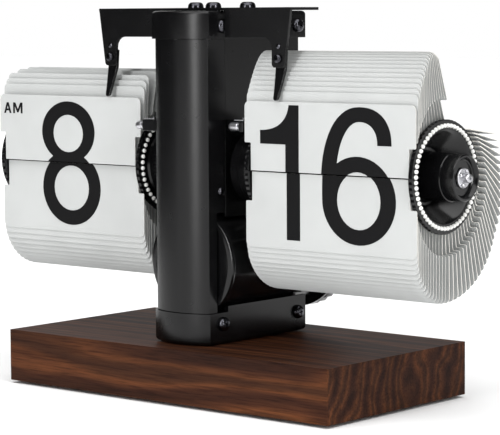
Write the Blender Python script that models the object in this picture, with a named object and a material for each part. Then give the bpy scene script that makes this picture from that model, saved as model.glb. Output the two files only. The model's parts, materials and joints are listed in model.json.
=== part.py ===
"""Flip number clock: two drums of hinged number cards on a black column with a walnut foot.

Sizes are in millimetres and every mesh is scaled to metres as its object is made.
X runs to the viewer's right along the drum axis, Y runs to the back and Z runs up.
The origin is on the underside of the foot's rest pad, below the middle of the column.
"""
import math

import bmesh
import bpy
from mathutils import Vector

MM = 0.001
GAP = 0.3                       # clearance between pieces that touch on the real clock

SIDES = {"left": -1, "right": 1}

# Walnut foot, its pad and the bolts that hold the column to it
FOOT_WIDTH, FOOT_DEPTH = 180.0, 94.6
FOOT_BOTTOM, FOOT_TOP = 1.3, 24.0
PAD_INSET, PAD_THICKNESS = 7.0, 1.0
BOLT_Y = {"front": -22.0, "rear": 22.0}
BOLT_RADIUS, BOLT_HEAD_RADIUS = 1.7, 3.6
BOLT_HEAD_HOLE = 3.0            # depth of the counterbore that the bolt's head sits in
BOLT_LENGTH = 24.5

# Column
SHELL_HALF_WIDTH = 14.75
SHELL_SHOULDER_Y = -31.7        # where the bowed front meets the flat sides
SHELL_BOW = 4.3                 # how far the front bulges past the shoulders
SHELL_BACK_Y = -20.9
SHELL_BACK_LOW_Y = -26.6        # the side walls are cut back beside the canister
SHELL_WALL = 1.4
SHELL_BOTTOM, SHELL_TOP = 38.0, 152.6
SHELL_CUT_TOP = 80.0            # top of the cut beside the canister
COLUMN_BACK_Y = 31.3
BOTTOM_CAP_GROW, TOP_CAP_GROW = 0.8, 1.3    # how far each cap stands proud of the shell
BOTTOM_CAP_FLOOR = 26.3
BOTTOM_CAP_TOP, BOTTOM_CAP_SIDE_TOP = 37.7, 40.2
BOTTOM_CAP_SIDE_FRONT_Y = -20.6
TOP_CAP_BOTTOM, TOP_CAP_TOP = 152.9, 164.2
CAP_WALL = 1.5
BEYOND = 5.0                    # how far a cutter runs past the piece that it cuts
CHASSIS_HALF_WIDTH = 13.6
CHASSIS_WALL = 1.2
CHASSIS_FRONT_Y, CHASSIS_BACK_Y = -19.5, 29.5
CHASSIS_BOTTOM, CHASSIS_TOP = 77.8, 161.0
CRADLE_HALF_WIDTH, CRADLE_TOP = 13.2, 39.5
CRADLE_FRONT_Y, CRADLE_BACK_Y = -19.8, 28.5
LAY_BORE = 1.6

# Screws of the column, with the same shank everywhere
SCREW_RADIUS = 1.1
CAP_SCREW_Y = {"front": -24.0, "rear": 25.7}
CAP_SCREW_Z = {"lower": 32.9, "upper": 158.1}
CAP_SCREW_HEAD = 3.0
CAP_SCREW_LENGTH, CHASSIS_SCREW_LENGTH = 1.9, 4.2
SHELL_SCREW_Y, SHELL_SCREW_Z = -24.3, 89.0
SHELL_SCREW_HEAD, SHELL_SCREW_LENGTH = 1.9, 2.5

# Battery canister, lying front to back through the column
CANISTER_Z = 58.2
CANISTER_RADIUS, CANISTER_BORE = 22.3, 18.0
CANISTER_FRONT_Y, CANISTER_BACK_Y = -26.3, 45.5
CANISTER_RIM_RADIUS, CANISTER_FLANGE_RADIUS = 23.0, 25.7
CANISTER_FLANGE = 2.5           # thickness of the rim that the cap closes against
CANISTER_END = 2.4              # thickness of the closed front end
CELL_RADIUS, CELL_LENGTH = 17.1, 61.5
CELL_NUB_RADIUS, CELL_NUB_HEIGHT = 5.0, 1.5
CAP_PLUG_LENGTH, CAP_PLUG_PLAY = 5.5, 0.4
CAP_THICKNESS = 7.0
COIN_SLOT_LENGTH, COIN_SLOT_WIDTH, COIN_SLOT_DEPTH = 24.0, 3.0, 2.0

# Drums. The flaps of each are numbered from the front one, going up and over to the back.
AXIS_Y, AXIS_Z = -4.3, 98.2
AXLE_RADIUS, AXLE_BORE = 1.5, 1.8
ROLL_INNER_X, ROLL_OUTER_X = 29.5, 116.9
MINUTE = {"name": "minute", "side": 1, "pin_radius": 20.5, "flange_radius": 22.9,
          "cards": 60, "first_rear": 17, "first_lower": 45, "seam_z": 98.5}
HOUR = {"name": "hour", "side": -1, "pin_radius": 19.5, "flange_radius": 22.1,
        "cards": 48, "first_rear": 13, "first_lower": 36, "seam_z": 97.7}
FLANGE_THICKNESS = 1.8
HUB_INNER_X, HUB_NECK_RADIUS = 16.0, 15.5
DISH_DEPTH_X, DISH_RADIUS = 106.2, 12.0     # the outer hub is hollowed back to here
HUB_BACK_X = 104.5
BOSS_FACE_X, BOSS_FLOOR_X, BOSS_RADIUS = 125.8, 123.8, 9.3
PEAK_HEIGHT, PEAK_WIDTH, PEAK_FOOT = 0.9, 0.85, 0.2

# Cards
CARD_NOTCH = 3.0                # the cards are cut in beside the drum flanges
CARD_NOTCH_HEIGHT = 11.0
CARD_THICKNESS = 0.2
CARD_LENGTH = 30.2              # from the card's pins to its free edge
CARD_CORNER = 2.6
SEAM = 0.32                     # slit between the upper and the lower half of a number
STRIP_OUTER, STRIP_INNER = 0.35, 1.15       # knuckle strip, measured in from the pins
FLAP_THICKNESS = 0.3
FLAP_Y = -25.5
FLAP_TOP = 127.4
LOWER_TIP_SPACING, MINUTE_TIP_SPACING = 0.45, 0.85

# Top bracket and its fingers
BRACKET_SHEET = 1.2
BRACKET_HALF_WIDTH = 54.0
BRACKET_FRONT_Y, BRACKET_BACK_Y = -25.2, -7.0
BRACKET_TOP = 165.8
APRON_INNER_X, APRON_BOTTOM = 18.6, 153.6
LEG_BOTTOM = 141.2
LEG_INNER_X, LEG_OUTER_X = 43.8, 50.6
LEG_FILLET = 4.5
TOP_SCREW_X = (-6.5, 3.5, 22.5)
TOP_SCREW_Y = -15.0
TOP_SCREW_HEAD, TOP_SCREW_LENGTH = 3.4, 3.4
FINGER_X = 47.4
FINGER_THICKNESS = 1.4
FINGER_TIP_Y, FINGER_TIP_Z = -26.9, FLAP_TOP + 0.35
FINGER_SCREW_Z = 144.8
FINGER_SCREW_HEAD, FINGER_SCREW_RADIUS, FINGER_SCREW_HOLE = 1.9, 0.95, 1.3
FINGER_SCREW_LENGTH = 3.2

# Wheels
GEAR_MODULE = 0.5
TRAIN_CENTRES = 17.5
MINUTE_WHEEL_TEETH, MINUTE_PINION_TEETH = 60, 14
LAY_WHEEL_TEETH, LAY_PINION_TEETH = 56, 10
HOUR_WHEEL_TEETH, MOTOR_PINION_TEETH = 60, 10
LAY_Z = AXIS_Z + TRAIN_CENTRES
MOTOR_Y = AXIS_Y + TRAIN_CENTRES
MOTOR_RADIUS = 9.0
ARBOR_RADIUS, ARBOR_END_X = 1.25, 13.2
PLATE_HALF_THICKNESS = 0.8

# Card guides: round-ended pins on blocks
GUIDE_RADIUS = 1.85
MINUTE_GUIDE_Y, MINUTE_GUIDE_Z, MINUTE_GUIDE_X = -23.5, 116.4, 26.0
HOUR_GUIDE_Y, HOUR_GUIDE_Z, HOUR_GUIDE_X = -28.3, 115.9, -24.1

# Colours as linear red, green, blue with roughness and metallic value
FINISHES = {
    "black_enamel": ((0.022, 0.022, 0.024), 0.42, 0.0),
    "black_plastic": ((0.016, 0.016, 0.017), 0.35, 0.0),
    "walnut": ((0.085, 0.040, 0.022), 0.55, 0.0),
    "felt": ((0.02, 0.02, 0.02), 0.95, 0.0),
    "card_white": ((0.76, 0.78, 0.77), 0.5, 0.0),
    "pin_nylon": ((0.82, 0.82, 0.80), 0.4, 0.0),
    "steel": ((0.62, 0.62, 0.63), 0.3, 1.0),
    "blackened_steel": ((0.05, 0.05, 0.052), 0.35, 1.0),
    "brass": ((0.75, 0.55, 0.24), 0.3, 1.0),
    "cell_jacket": ((0.35, 0.22, 0.08), 0.35, 0.3),
}

AXES = {"X": Vector((1, 0, 0)), "Y": Vector((0, 1, 0)), "Z": Vector((0, 0, 1))}


# ---------------------------------------------------------------- small tools

def clear_scene():
    for item in list(bpy.data.objects):
        bpy.data.objects.remove(item)


def finish(name):
    """The Principled material of that name, made once."""
    if name in bpy.data.materials:
        return bpy.data.materials[name]
    colour, roughness, metallic = FINISHES[name]
    material = bpy.data.materials.new(name)
    material.use_nodes = True
    shader = material.node_tree.nodes["Principled BSDF"]
    shader.inputs["Base Color"].default_value = (*colour, 1.0)
    shader.inputs["Roughness"].default_value = roughness
    shader.inputs["Metallic"].default_value = metallic
    return material


def make_object(name, shape, finish_name, pivot=(0, 0, 0), smooth=True):
    """Turn a bmesh in millimetres into an object in metres whose origin is at pivot."""
    bmesh.ops.recalc_face_normals(shape, faces=shape.faces)
    bmesh.ops.translate(shape, verts=shape.verts, vec=-Vector(pivot))
    bmesh.ops.scale(shape, verts=shape.verts, vec=(MM, MM, MM))
    mesh = bpy.data.meshes.new(name)
    shape.to_mesh(mesh)
    shape.free()
    if smooth:
        mesh.shade_smooth()
        mesh.set_sharp_from_angle(angle=math.radians(35))
    mesh.materials.append(finish(finish_name))
    item = bpy.data.objects.new(name, mesh)
    item.location = Vector(pivot) * MM
    bpy.context.scene.collection.objects.link(item)
    return item


def boolean(item, shape, operation="DIFFERENCE"):
    """Cut the shape out of the object, or join it on, and keep the shape as a hidden guide."""
    guide = make_object(f"{item.name}_guide_{len(item.modifiers)}", shape, "steel", smooth=False)
    guide.display_type = "WIRE"
    guide.hide_render = True
    modifier = item.modifiers.new(operation.lower(), "BOOLEAN")
    modifier.operation = operation
    modifier.solver = "EXACT"
    modifier.object = guide


def place(point, axis, along):
    """A 3-D point from a 2-D point in the plane across axis and a distance along it."""
    a, b = point
    if axis == "X":
        return Vector((along, a, b))
    if axis == "Y":
        return Vector((a, along, b))
    return Vector((a, b, along))


def extruded(outline, axis, low, high):
    """A prism: the outline, in the plane across axis, drawn out from low to high."""
    shape = bmesh.new()
    corners = [shape.verts.new(place(point, axis, low)) for point in outline]
    face = shape.faces.new(corners)
    drawn = bmesh.ops.extrude_face_region(shape, geom=[face])
    moved = [item for item in drawn["geom"] if isinstance(item, bmesh.types.BMVert)]
    bmesh.ops.translate(shape, verts=moved, vec=AXES[axis] * (high - low))
    return shape


def box(low, high):
    outline = [(low[0], low[1]), (high[0], low[1]), (high[0], high[1]), (low[0], high[1])]
    return extruded(outline, "Z", low[2], high[2])


def turned(profile, axis, centre, segments, closed=True):
    """A turned solid. The profile lists (distance along axis, radius) around the section."""
    across = {"X": "Y", "Y": "Z", "Z": "X"}[axis]
    shape = bmesh.new()
    origin = Vector(centre)
    points = [shape.verts.new(origin + AXES[axis] * along + AXES[across] * radius)
              for along, radius in profile]
    pairs = list(zip(points, points[1:]))
    if closed:
        pairs.append((points[-1], points[0]))
    edges = [shape.edges.new(pair) for pair in pairs]
    bmesh.ops.spin(shape, geom=points + edges, cent=origin, axis=AXES[axis],
                   angle=math.tau, steps=segments, use_merge=True)
    bmesh.ops.remove_doubles(shape, verts=shape.verts, dist=0.0005)
    return shape


def rod(axis, centre, radius, low, high, segments=12):
    """A plain cylinder from low to high along axis, measured from centre."""
    return turned([(low, 0), (low, radius), (high, radius), (high, 0)],
                  axis, centre, segments, closed=False)


def lofted(sections):
    """A solid drawn through rings of corners that all have the same number of points."""
    shape = bmesh.new()
    rings = [[shape.verts.new(corner) for corner in section] for section in sections]
    shape.faces.new(rings[0])
    shape.faces.new(rings[-1])
    for ring, following in zip(rings, rings[1:]):
        skin(shape, ring, following)
    return shape


def skin(shape, ring, following):
    count = len(ring)
    for index in range(count):
        after = (index + 1) % count
        shape.faces.new((ring[index], ring[after], following[after], following[index]))


def arc(centre, radius, start, end, steps):
    """Points on an arc in a plane, angles in degrees."""
    angles = [math.radians(start + (end - start) * step / steps) for step in range(steps + 1)]
    return [(centre[0] + radius * math.cos(angle), centre[1] + radius * math.sin(angle))
            for angle in angles]


def screw(name, head, axis, side, head_radius, shank_radius, shank_length, finish_name):
    """A pan-head screw. head is the centre of the seat and side the way the head faces."""
    profile = [(-shank_length, 0), (-shank_length, shank_radius), (0, shank_radius),
               (0, head_radius), (head_radius * 0.62, head_radius * 0.6), (head_radius * 0.62, 0)]
    sided = [(along * side, radius) for along, radius in profile]
    return make_object(name, turned(sided, axis, head, 8, closed=False), finish_name)



# ---------------------------------------------------------------- foot

def build_foot():
    half_width, half_depth = FOOT_WIDTH / 2, FOOT_DEPTH / 2
    pad_x, pad_y = half_width - PAD_INSET, half_depth - PAD_INSET
    make_object("rest_pad", box((-pad_x, -pad_y, 0), (pad_x, pad_y, PAD_THICKNESS)), "felt")
    foot = make_object("walnut_foot", box((-half_width, -half_depth, FOOT_BOTTOM),
                                          (half_width, half_depth, FOOT_TOP)), "walnut")
    head_hole, shank_hole = BOLT_HEAD_RADIUS + 0.5, BOLT_RADIUS + GAP
    through = FOOT_TOP - FOOT_BOTTOM + BEYOND
    for end, y in BOLT_Y.items():
        bore = turned([(-BEYOND, 0), (-BEYOND, head_hole), (BOLT_HEAD_HOLE, head_hole),
                       (BOLT_HEAD_HOLE, shank_hole), (through, shank_hole), (through, 0)],
                      "Z", (0, y, FOOT_BOTTOM), 12, closed=False)
        boolean(foot, bore)
        screw(f"foot_bolt_{end}", (0, y, FOOT_BOTTOM + BOLT_HEAD_HOLE - GAP), "Z", -1,
              BOLT_HEAD_RADIUS, BOLT_RADIUS, BOLT_LENGTH, "steel")


# ---------------------------------------------------------------- column

def column_outline(grow, back_y):
    """Plan of the column: a bowed front between two flat sides, grown outwards by grow."""
    half = SHELL_HALF_WIDTH
    bow_radius = (half ** 2 + SHELL_BOW ** 2) / (2 * SHELL_BOW)
    centre_y = SHELL_SHOULDER_Y - SHELL_BOW + bow_radius
    reach = math.degrees(math.asin((half + grow) / (bow_radius + grow)))
    front = arc((0, centre_y), bow_radius + grow, -90 - reach, -90 + reach, 8)
    return front + [(half + grow, back_y), (-half - grow, back_y)]


def cut_side_hole(item, side, y, z):
    """A clearance hole for a side screw, through the walls near one side of the column."""
    span = sorted((side * (CHASSIS_HALF_WIDTH - BEYOND), side * (SHELL_HALF_WIDTH + BEYOND)))
    boolean(item, rod("X", (0, y, z), SCREW_RADIUS + GAP, *span))


def round_rim(shape, z, radius):
    """Round the rim of a prism that lies at height z."""
    rim = [edge for edge in shape.edges if all(abs(vert.co.z - z) < 0.01 for vert in edge.verts)]
    bmesh.ops.bevel(shape, geom=rim, offset=radius, segments=2, profile=0.5,
                    affect="EDGES", clamp_overlap=True)


def build_bottom_cap():
    low, high = FOOT_TOP + GAP, BOTTOM_CAP_SIDE_TOP
    shape = extruded(column_outline(BOTTOM_CAP_GROW, COLUMN_BACK_Y), "Z", low, high)
    round_rim(shape, low, 2.0)
    cap = make_object("bottom_cap", shape, "black_enamel")
    inside = column_outline(BOTTOM_CAP_GROW - CAP_WALL, COLUMN_BACK_Y - CAP_WALL)
    boolean(cap, extruded(inside, "Z", BOTTOM_CAP_FLOOR, high + BEYOND))
    half = SHELL_HALF_WIDTH + BEYOND
    boolean(cap, box((-half, SHELL_SHOULDER_Y - 2 * BEYOND, BOTTOM_CAP_TOP),
                     (half, BOTTOM_CAP_SIDE_FRONT_Y, high + BEYOND)))
    half = CHASSIS_HALF_WIDTH + 0.4
    boolean(cap, box((-half, CRADLE_BACK_Y - BEYOND, BOTTOM_CAP_TOP - 2.5),
                     (half, COLUMN_BACK_Y + BEYOND, high + BEYOND)))
    for y in BOLT_Y.values():
        boolean(cap, rod("Z", (0, y, low), BOLT_RADIUS + GAP, -BEYOND, BEYOND))
    for side in SIDES.values():
        for y in CAP_SCREW_Y.values():
            cut_side_hole(cap, side, y, CAP_SCREW_Z["lower"])


def build_top_cap():
    shape = extruded(column_outline(TOP_CAP_GROW, COLUMN_BACK_Y), "Z", TOP_CAP_BOTTOM, TOP_CAP_TOP)
    round_rim(shape, TOP_CAP_TOP, 1.0)
    cap = make_object("top_cap", shape, "black_enamel")
    inside = column_outline(TOP_CAP_GROW - CAP_WALL, COLUMN_BACK_Y - CAP_WALL)
    boolean(cap, extruded(inside, "Z", TOP_CAP_BOTTOM - BEYOND, TOP_CAP_TOP - CAP_WALL))
    for x in TOP_SCREW_X[:2]:
        boolean(cap, rod("Z", (x, TOP_SCREW_Y, TOP_CAP_TOP), SCREW_RADIUS + GAP, -BEYOND, BEYOND))
    for side in SIDES.values():
        for y in CAP_SCREW_Y.values():
            cut_side_hole(cap, side, y, CAP_SCREW_Z["upper"])


def build_cradle():
    """Saddle in the bottom cap that the canister lies on."""
    half, top = CRADLE_HALF_WIDTH, CRADLE_TOP
    trough = CANISTER_RADIUS + GAP
    reach = math.degrees(math.acos((CANISTER_Z - top) / trough))
    hollow = arc((0, CANISTER_Z), trough, -90 + reach, -90 - reach, 8)
    floor = BOTTOM_CAP_FLOOR + GAP
    outline = [(-half, floor), (half, floor), (half, top), *hollow, (-half, top)]
    cradle = make_object("canister_cradle",
                         extruded(outline, "Y", CRADLE_FRONT_Y, CRADLE_BACK_Y), "black_plastic")
    for y in BOLT_Y.values():
        boolean(cradle, rod("Z", (0, y, floor), BOLT_RADIUS + GAP, -BEYOND, 2.6))


def build_shell():
    outer = column_outline(0, SHELL_BACK_Y)
    inner = column_outline(-SHELL_WALL, SHELL_BACK_Y)
    outline = outer[:-1] + inner[:-1][::-1] + [inner[-1], outer[-1]]
    shell = make_object("front_shell", extruded(outline, "Z", SHELL_BOTTOM, SHELL_TOP),
                        "black_enamel")
    half = SHELL_HALF_WIDTH + BEYOND
    boolean(shell, box((-half, SHELL_BACK_LOW_Y, SHELL_BOTTOM - BEYOND),
                       (half, SHELL_BACK_Y + BEYOND, SHELL_CUT_TOP)))
    for side in SIDES.values():
        cut_side_hole(shell, side, SHELL_SCREW_Y, SHELL_SCREW_Z)


def build_chassis():
    """A sheet bent to a U: two side plates that carry the arbors, and a back."""
    half, wall = CHASSIS_HALF_WIDTH, CHASSIS_WALL
    outline = [(-half, CHASSIS_FRONT_Y), (-half, CHASSIS_BACK_Y), (half, CHASSIS_BACK_Y),
               (half, CHASSIS_FRONT_Y), (half - wall, CHASSIS_FRONT_Y),
               (half - wall, CHASSIS_BACK_Y - wall), (-half + wall, CHASSIS_BACK_Y - wall),
               (-half + wall, CHASSIS_FRONT_Y)]
    chassis = make_object("chassis_frame",
                          extruded(outline, "Z", CHASSIS_BOTTOM, CHASSIS_TOP), "black_enamel")
    boolean(chassis, rod("Y", (0, 0, CANISTER_Z), CANISTER_RADIUS + 0.5, CANISTER_FRONT_Y,
                         CANISTER_BACK_Y, 40))
    half += BEYOND
    boolean(chassis, rod("X", (0, AXIS_Y, AXIS_Z), AXLE_BORE, -half, half))
    boolean(chassis, rod("X", (0, AXIS_Y, LAY_Z), LAY_BORE, -half, half))
    for side in SIDES.values():
        cut_side_hole(chassis, side, CAP_SCREW_Y["rear"], CAP_SCREW_Z["upper"])


def build_side_screws():
    seats = {"lower": SHELL_HALF_WIDTH + BOTTOM_CAP_GROW + GAP,
             "upper": SHELL_HALF_WIDTH + TOP_CAP_GROW + GAP}
    for side_name, side in SIDES.items():
        for level, z in CAP_SCREW_Z.items():
            for end, y in CAP_SCREW_Y.items():
                in_chassis = (level, end) == ("upper", "rear")
                length = CHASSIS_SCREW_LENGTH if in_chassis else CAP_SCREW_LENGTH
                screw(f"{side_name}_{level}_{end}_screw", (side * seats[level], y, z), "X", side,
                      CAP_SCREW_HEAD, SCREW_RADIUS, length, "blackened_steel")
        screw(f"{side_name}_shell_screw",
              (side * (SHELL_HALF_WIDTH + GAP), SHELL_SCREW_Y, SHELL_SCREW_Z), "X", side,
              SHELL_SCREW_HEAD, SCREW_RADIUS, SHELL_SCREW_LENGTH, "blackened_steel")


# ---------------------------------------------------------------- canister

def build_canister():
    centre = (0, 0, CANISTER_Z)
    front, back = CANISTER_FRONT_Y, CANISTER_BACK_Y
    rim, body, flange = CANISTER_RIM_RADIUS, CANISTER_RADIUS, CANISTER_FLANGE_RADIUS
    profile = [(front, 0), (front, rim - 0.6), (front + 0.6, rim), (front + 2.0, rim),
               (front + 2.6, body), (back - CANISTER_FLANGE, body),
               (back - CANISTER_FLANGE, flange), (back, flange), (back, CANISTER_BORE),
               (front + CANISTER_END, CANISTER_BORE), (front + CANISTER_END, 0)]
    make_object("battery_canister", turned(profile, "Y", centre, 32, closed=False),
                "black_plastic")
    plug = CANISTER_BORE - CAP_PLUG_PLAY
    seat = back + 0.5
    outside = seat + CAP_THICKNESS
    lid = [(seat - CAP_PLUG_LENGTH, 0), (seat - CAP_PLUG_LENGTH, plug), (seat, plug),
           (seat, flange), (outside - 1.0, flange), (outside, flange - 1.0), (outside, 0)]
    cap = make_object("battery_cap", turned(lid, "Y", centre, 32, closed=False),
                      "black_plastic", pivot=(0, back, CANISTER_Z))
    half_length, half_width = COIN_SLOT_LENGTH / 2, COIN_SLOT_WIDTH / 2
    boolean(cap, box((-half_length, outside - COIN_SLOT_DEPTH, CANISTER_Z - half_width),
                     (half_length, outside + BEYOND, CANISTER_Z + half_width)))
    start = front + CANISTER_END + GAP
    shoulder = start + CELL_LENGTH - CELL_NUB_HEIGHT
    cell = [(start, 0), (start, CELL_RADIUS), (shoulder, CELL_RADIUS),
            (shoulder, CELL_NUB_RADIUS), (start + CELL_LENGTH, CELL_NUB_RADIUS),
            (start + CELL_LENGTH, 0)]
    make_object("battery_cell", turned(cell, "Y", centre, 24, closed=False), "cell_jacket")


# ---------------------------------------------------------------- top bracket and fingers

def arm_outline(side):
    """Front view of one arm: a deep apron that ends in a tapered leg."""
    fillet = arc((LEG_INNER_X - LEG_FILLET, APRON_BOTTOM - LEG_FILLET), LEG_FILLET, 90, 0, 4)
    points = [(APRON_INNER_X, BRACKET_TOP), (APRON_INNER_X, APRON_BOTTOM), *fillet,
              (LEG_INNER_X, LEG_BOTTOM + 1), (LEG_INNER_X + 1, LEG_BOTTOM),
              (LEG_OUTER_X - 0.8, LEG_BOTTOM), (LEG_OUTER_X, LEG_BOTTOM + 1),
              (BRACKET_HALF_WIDTH, BRACKET_TOP)]
    return [(side * x, z) for x, z in points]


def build_bracket():
    plate = box((-BRACKET_HALF_WIDTH, BRACKET_FRONT_Y, BRACKET_TOP - BRACKET_SHEET),
                (BRACKET_HALF_WIDTH, BRACKET_BACK_Y, BRACKET_TOP))
    bracket = make_object("top_bracket", plate, "black_enamel", smooth=False)
    for side in SIDES.values():
        boolean(bracket, extruded(arm_outline(side), "Y", BRACKET_FRONT_Y,
                                  BRACKET_FRONT_Y + BRACKET_SHEET), "UNION")
        boolean(bracket, rod("Y", (side * FINGER_X, BRACKET_FRONT_Y, FINGER_SCREW_Z),
                             FINGER_SCREW_HOLE, -BEYOND, BEYOND))
    for number, x in enumerate(TOP_SCREW_X, start=1):
        boolean(bracket, rod("Z", (x, TOP_SCREW_Y, BRACKET_TOP), SCREW_RADIUS + GAP,
                             -BEYOND, BEYOND))
        screw(f"top_screw_{number}", (x, TOP_SCREW_Y, BRACKET_TOP + GAP), "Z", 1,
              TOP_SCREW_HEAD, SCREW_RADIUS, TOP_SCREW_LENGTH, "blackened_steel")


def build_fingers():
    """Springy plastic fingers: flat against the leg, then leaning forward over the cards."""
    half = FINGER_THICKNESS / 2
    middle = BRACKET_FRONT_Y + BRACKET_SHEET + GAP + half
    tip_y, tip_z = FINGER_TIP_Y, FINGER_TIP_Z
    stations = [(148.0, middle, 3.0), (LEG_BOTTOM - 0.9, middle, 2.4),
                (tip_z + 1.4, tip_y + 0.45, 1.9), (tip_z + 0.4, tip_y + 0.12, 1.5),
                (tip_z, tip_y, 0.8)]
    for side_name, side in SIDES.items():
        x = side * FINGER_X
        sections = [[(x - wide, y - half, z), (x + wide, y - half, z),
                     (x + wide, y + half, z), (x - wide, y + half, z)]
                    for z, y, wide in stations]
        finger = make_object(f"{side_name}_finger", lofted(sections), "black_plastic")
        boolean(finger, rod("Y", (x, middle, FINGER_SCREW_Z), FINGER_SCREW_HOLE, -2, 2))
        screw(f"{side_name}_finger_screw", (x, BRACKET_FRONT_Y - GAP, FINGER_SCREW_Z), "Y", -1,
              FINGER_SCREW_HEAD, FINGER_SCREW_RADIUS, FINGER_SCREW_LENGTH, "blackened_steel")


# ---------------------------------------------------------------- drums

def mirrored(profile, side):
    return [(side * along, radius) for along, radius in profile]


def build_pin_ring(name, drum, near_x, facing):
    """The row of card pins around one flange: a crown with one peak for each card's pin."""
    side, pin_radius, points = drum["side"], drum["pin_radius"], 2 * drum["cards"]
    shape = bmesh.new()
    corners = []
    for step in range(points):
        angle = math.tau * (step + 0.5) / points
        peak = PEAK_HEIGHT if step % 2 == 0 else PEAK_FOOT
        ring = []
        for along, radius in ((0, pin_radius - PEAK_WIDTH), (peak, pin_radius),
                              (0, pin_radius + PEAK_WIDTH)):
            ring.append(shape.verts.new((side * (near_x + facing * along),
                                         AXIS_Y - radius * math.cos(angle),
                                         AXIS_Z + radius * math.sin(angle))))
        corners.append(ring)
    for ring, following in zip(corners, corners[1:] + corners[:1]):
        skin(shape, ring, following)
    make_object(name, shape, "pin_nylon", pivot=(0, AXIS_Y, AXIS_Z), smooth=False)


def build_drum(drum):
    """Hubs, pins, axle and end screw of one drum. They turn together."""
    name, side, flange_radius = drum["name"], drum["side"], drum["flange_radius"]
    centre = (0, AXIS_Y, AXIS_Z)
    card_side = ROLL_INNER_X + CARD_NOTCH - GAP
    face = card_side - FLANGE_THICKNESS
    inner = [(HUB_INNER_X, AXLE_BORE), (HUB_INNER_X, HUB_NECK_RADIUS),
             (face, HUB_NECK_RADIUS + 0.3), (face, flange_radius), (card_side, flange_radius),
             (card_side, AXLE_BORE)]
    make_object(f"{name}_inner_hub", turned(mirrored(inner, side), "X", centre, 32),
                "black_plastic", pivot=centre)
    build_pin_ring(f"{name}_inner_pins", drum, face - GAP, -1)

    card_side = ROLL_OUTER_X - CARD_NOTCH + GAP
    face = card_side + FLANGE_THICKNESS
    dish = drum["pin_radius"] - 1.9
    outer = [(HUB_BACK_X, AXLE_BORE), (BOSS_FLOOR_X, AXLE_BORE), (BOSS_FLOOR_X, 7.4),
             (BOSS_FACE_X, 8.0), (BOSS_FACE_X, BOSS_RADIUS), (DISH_DEPTH_X, BOSS_RADIUS + 0.6),
             (DISH_DEPTH_X, DISH_RADIUS), (face, dish), (face, flange_radius),
             (card_side, flange_radius), (card_side, dish + 0.3), (HUB_BACK_X, DISH_RADIUS + 0.6)]
    make_object(f"{name}_outer_hub", turned(mirrored(outer, side), "X", centre, 32),
                "black_plastic", pivot=centre)
    build_pin_ring(f"{name}_outer_pins", drum, face + GAP, 1)

    span = sorted((side * 0.25, side * (BOSS_FLOOR_X - 0.4)))
    make_object(f"{name}_axle", rod("X", centre, AXLE_RADIUS, *span), "steel", pivot=centre)
    seat = BOSS_FLOOR_X + GAP
    end = [(seat, 0), (seat, 4.3), (seat + 0.9, 4.3), (seat + 0.9, 2.9), (seat + 2.5, 2.9),
           (seat + 3.3, 1.8), (seat + 3.9, 1.5), (seat + 3.9, 0)]
    make_object(f"{name}_hub_screw", turned(mirrored(end, side), "X", centre, 10, closed=False),
                "steel", pivot=centre)


# ---------------------------------------------------------------- cards

def neck_span(side):
    """Inner and outer X of what fits between the two flanges of a drum."""
    return (side * (ROLL_INNER_X + CARD_NOTCH + GAP), side * (ROLL_OUTER_X - CARD_NOTCH - GAP))


def card_widths(side, length):
    """Distances from the card's pins with the card's two edges there: neck, shoulders, tip."""
    rows = [(0.5, CARD_NOTCH), (CARD_NOTCH_HEIGHT - 0.3, CARD_NOTCH), (CARD_NOTCH_HEIGHT, 0),
            (length - CARD_CORNER, 0), (length, CARD_CORNER)]
    return [(along, side * (ROLL_INNER_X + inset), side * (ROLL_OUTER_X - inset))
            for along, inset in rows]


def card_sections(root, direction, side, length, thickness):
    """Rings of corners of one flat card that leaves root, in the YZ plane, along direction."""
    y, z = root
    dy, dz = direction
    sections = []
    for along, x_near, x_far in card_widths(side, length):
        low = (y + dy * along - dz * thickness / 2, z + dz * along + dy * thickness / 2)
        high = (y + dy * along + dz * thickness / 2, z + dz * along - dy * thickness / 2)
        sections.append([(x_near, *low), (x_far, *low), (x_far, *high), (x_near, *high)])
    return sections


def pin_place(angle, radius):
    """Where a pin sits in the YZ plane. Angles are in degrees from the front, going up."""
    turn = math.radians(angle)
    return (AXIS_Y - radius * math.cos(turn), AXIS_Z + radius * math.sin(turn))


def build_card_stack(name, drum, angles, tilts):
    """Cards that share a knuckle strip: an arc between the drum flanges, inside the pins."""
    side, pin_radius = drum["side"], drum["pin_radius"]
    shape = bmesh.new()
    strip_outer, strip_inner = pin_radius - STRIP_OUTER, pin_radius - STRIP_INNER
    x_near, x_far = neck_span(side)
    half_step = math.degrees(CARD_THICKNESS / 2 / strip_outer)

    def station(angle):
        inner, outer = pin_place(angle, strip_inner), pin_place(angle, strip_outer)
        corners = ((x_near, *inner), (x_far, *inner), (x_far, *outer), (x_near, *outer))
        return [shape.verts.new(corner) for corner in corners]

    previous = None
    for angle, tilt in zip(angles, tilts):
        low, high = station(angle - half_step), station(angle + half_step)
        if previous is None:
            shape.faces.new(low)
        else:
            skin(shape, previous, low)
        for first, second in ((0, 1), (1, 2), (3, 0)):
            shape.faces.new((low[first], low[second], high[second], high[first]))
        ring = [low[3], low[2], high[2], high[3]]
        root = pin_place(angle, pin_radius)
        for section in card_sections(root, heading(tilt), side, CARD_LENGTH, CARD_THICKNESS):
            following = [shape.verts.new(corner) for corner in section]
            skin(shape, ring, following)
            ring = following
        shape.faces.new(ring)
        previous = high
    shape.faces.new(previous)
    return make_object(name, shape, "card_white", smooth=False)


def add_heel(stack, drum, last_angle):
    """The front-most hanging card reaches up past its pins, to just below the seam."""
    y, z = pin_place(last_angle, drum["pin_radius"])
    near, far = sorted(neck_span(drum["side"]))
    half = CARD_THICKNESS / 2
    boolean(stack, box((near, y - half, z - 0.6), (far, y + half, drum["seam_z"] - SEAM / 2)),
            "UNION")


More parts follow.
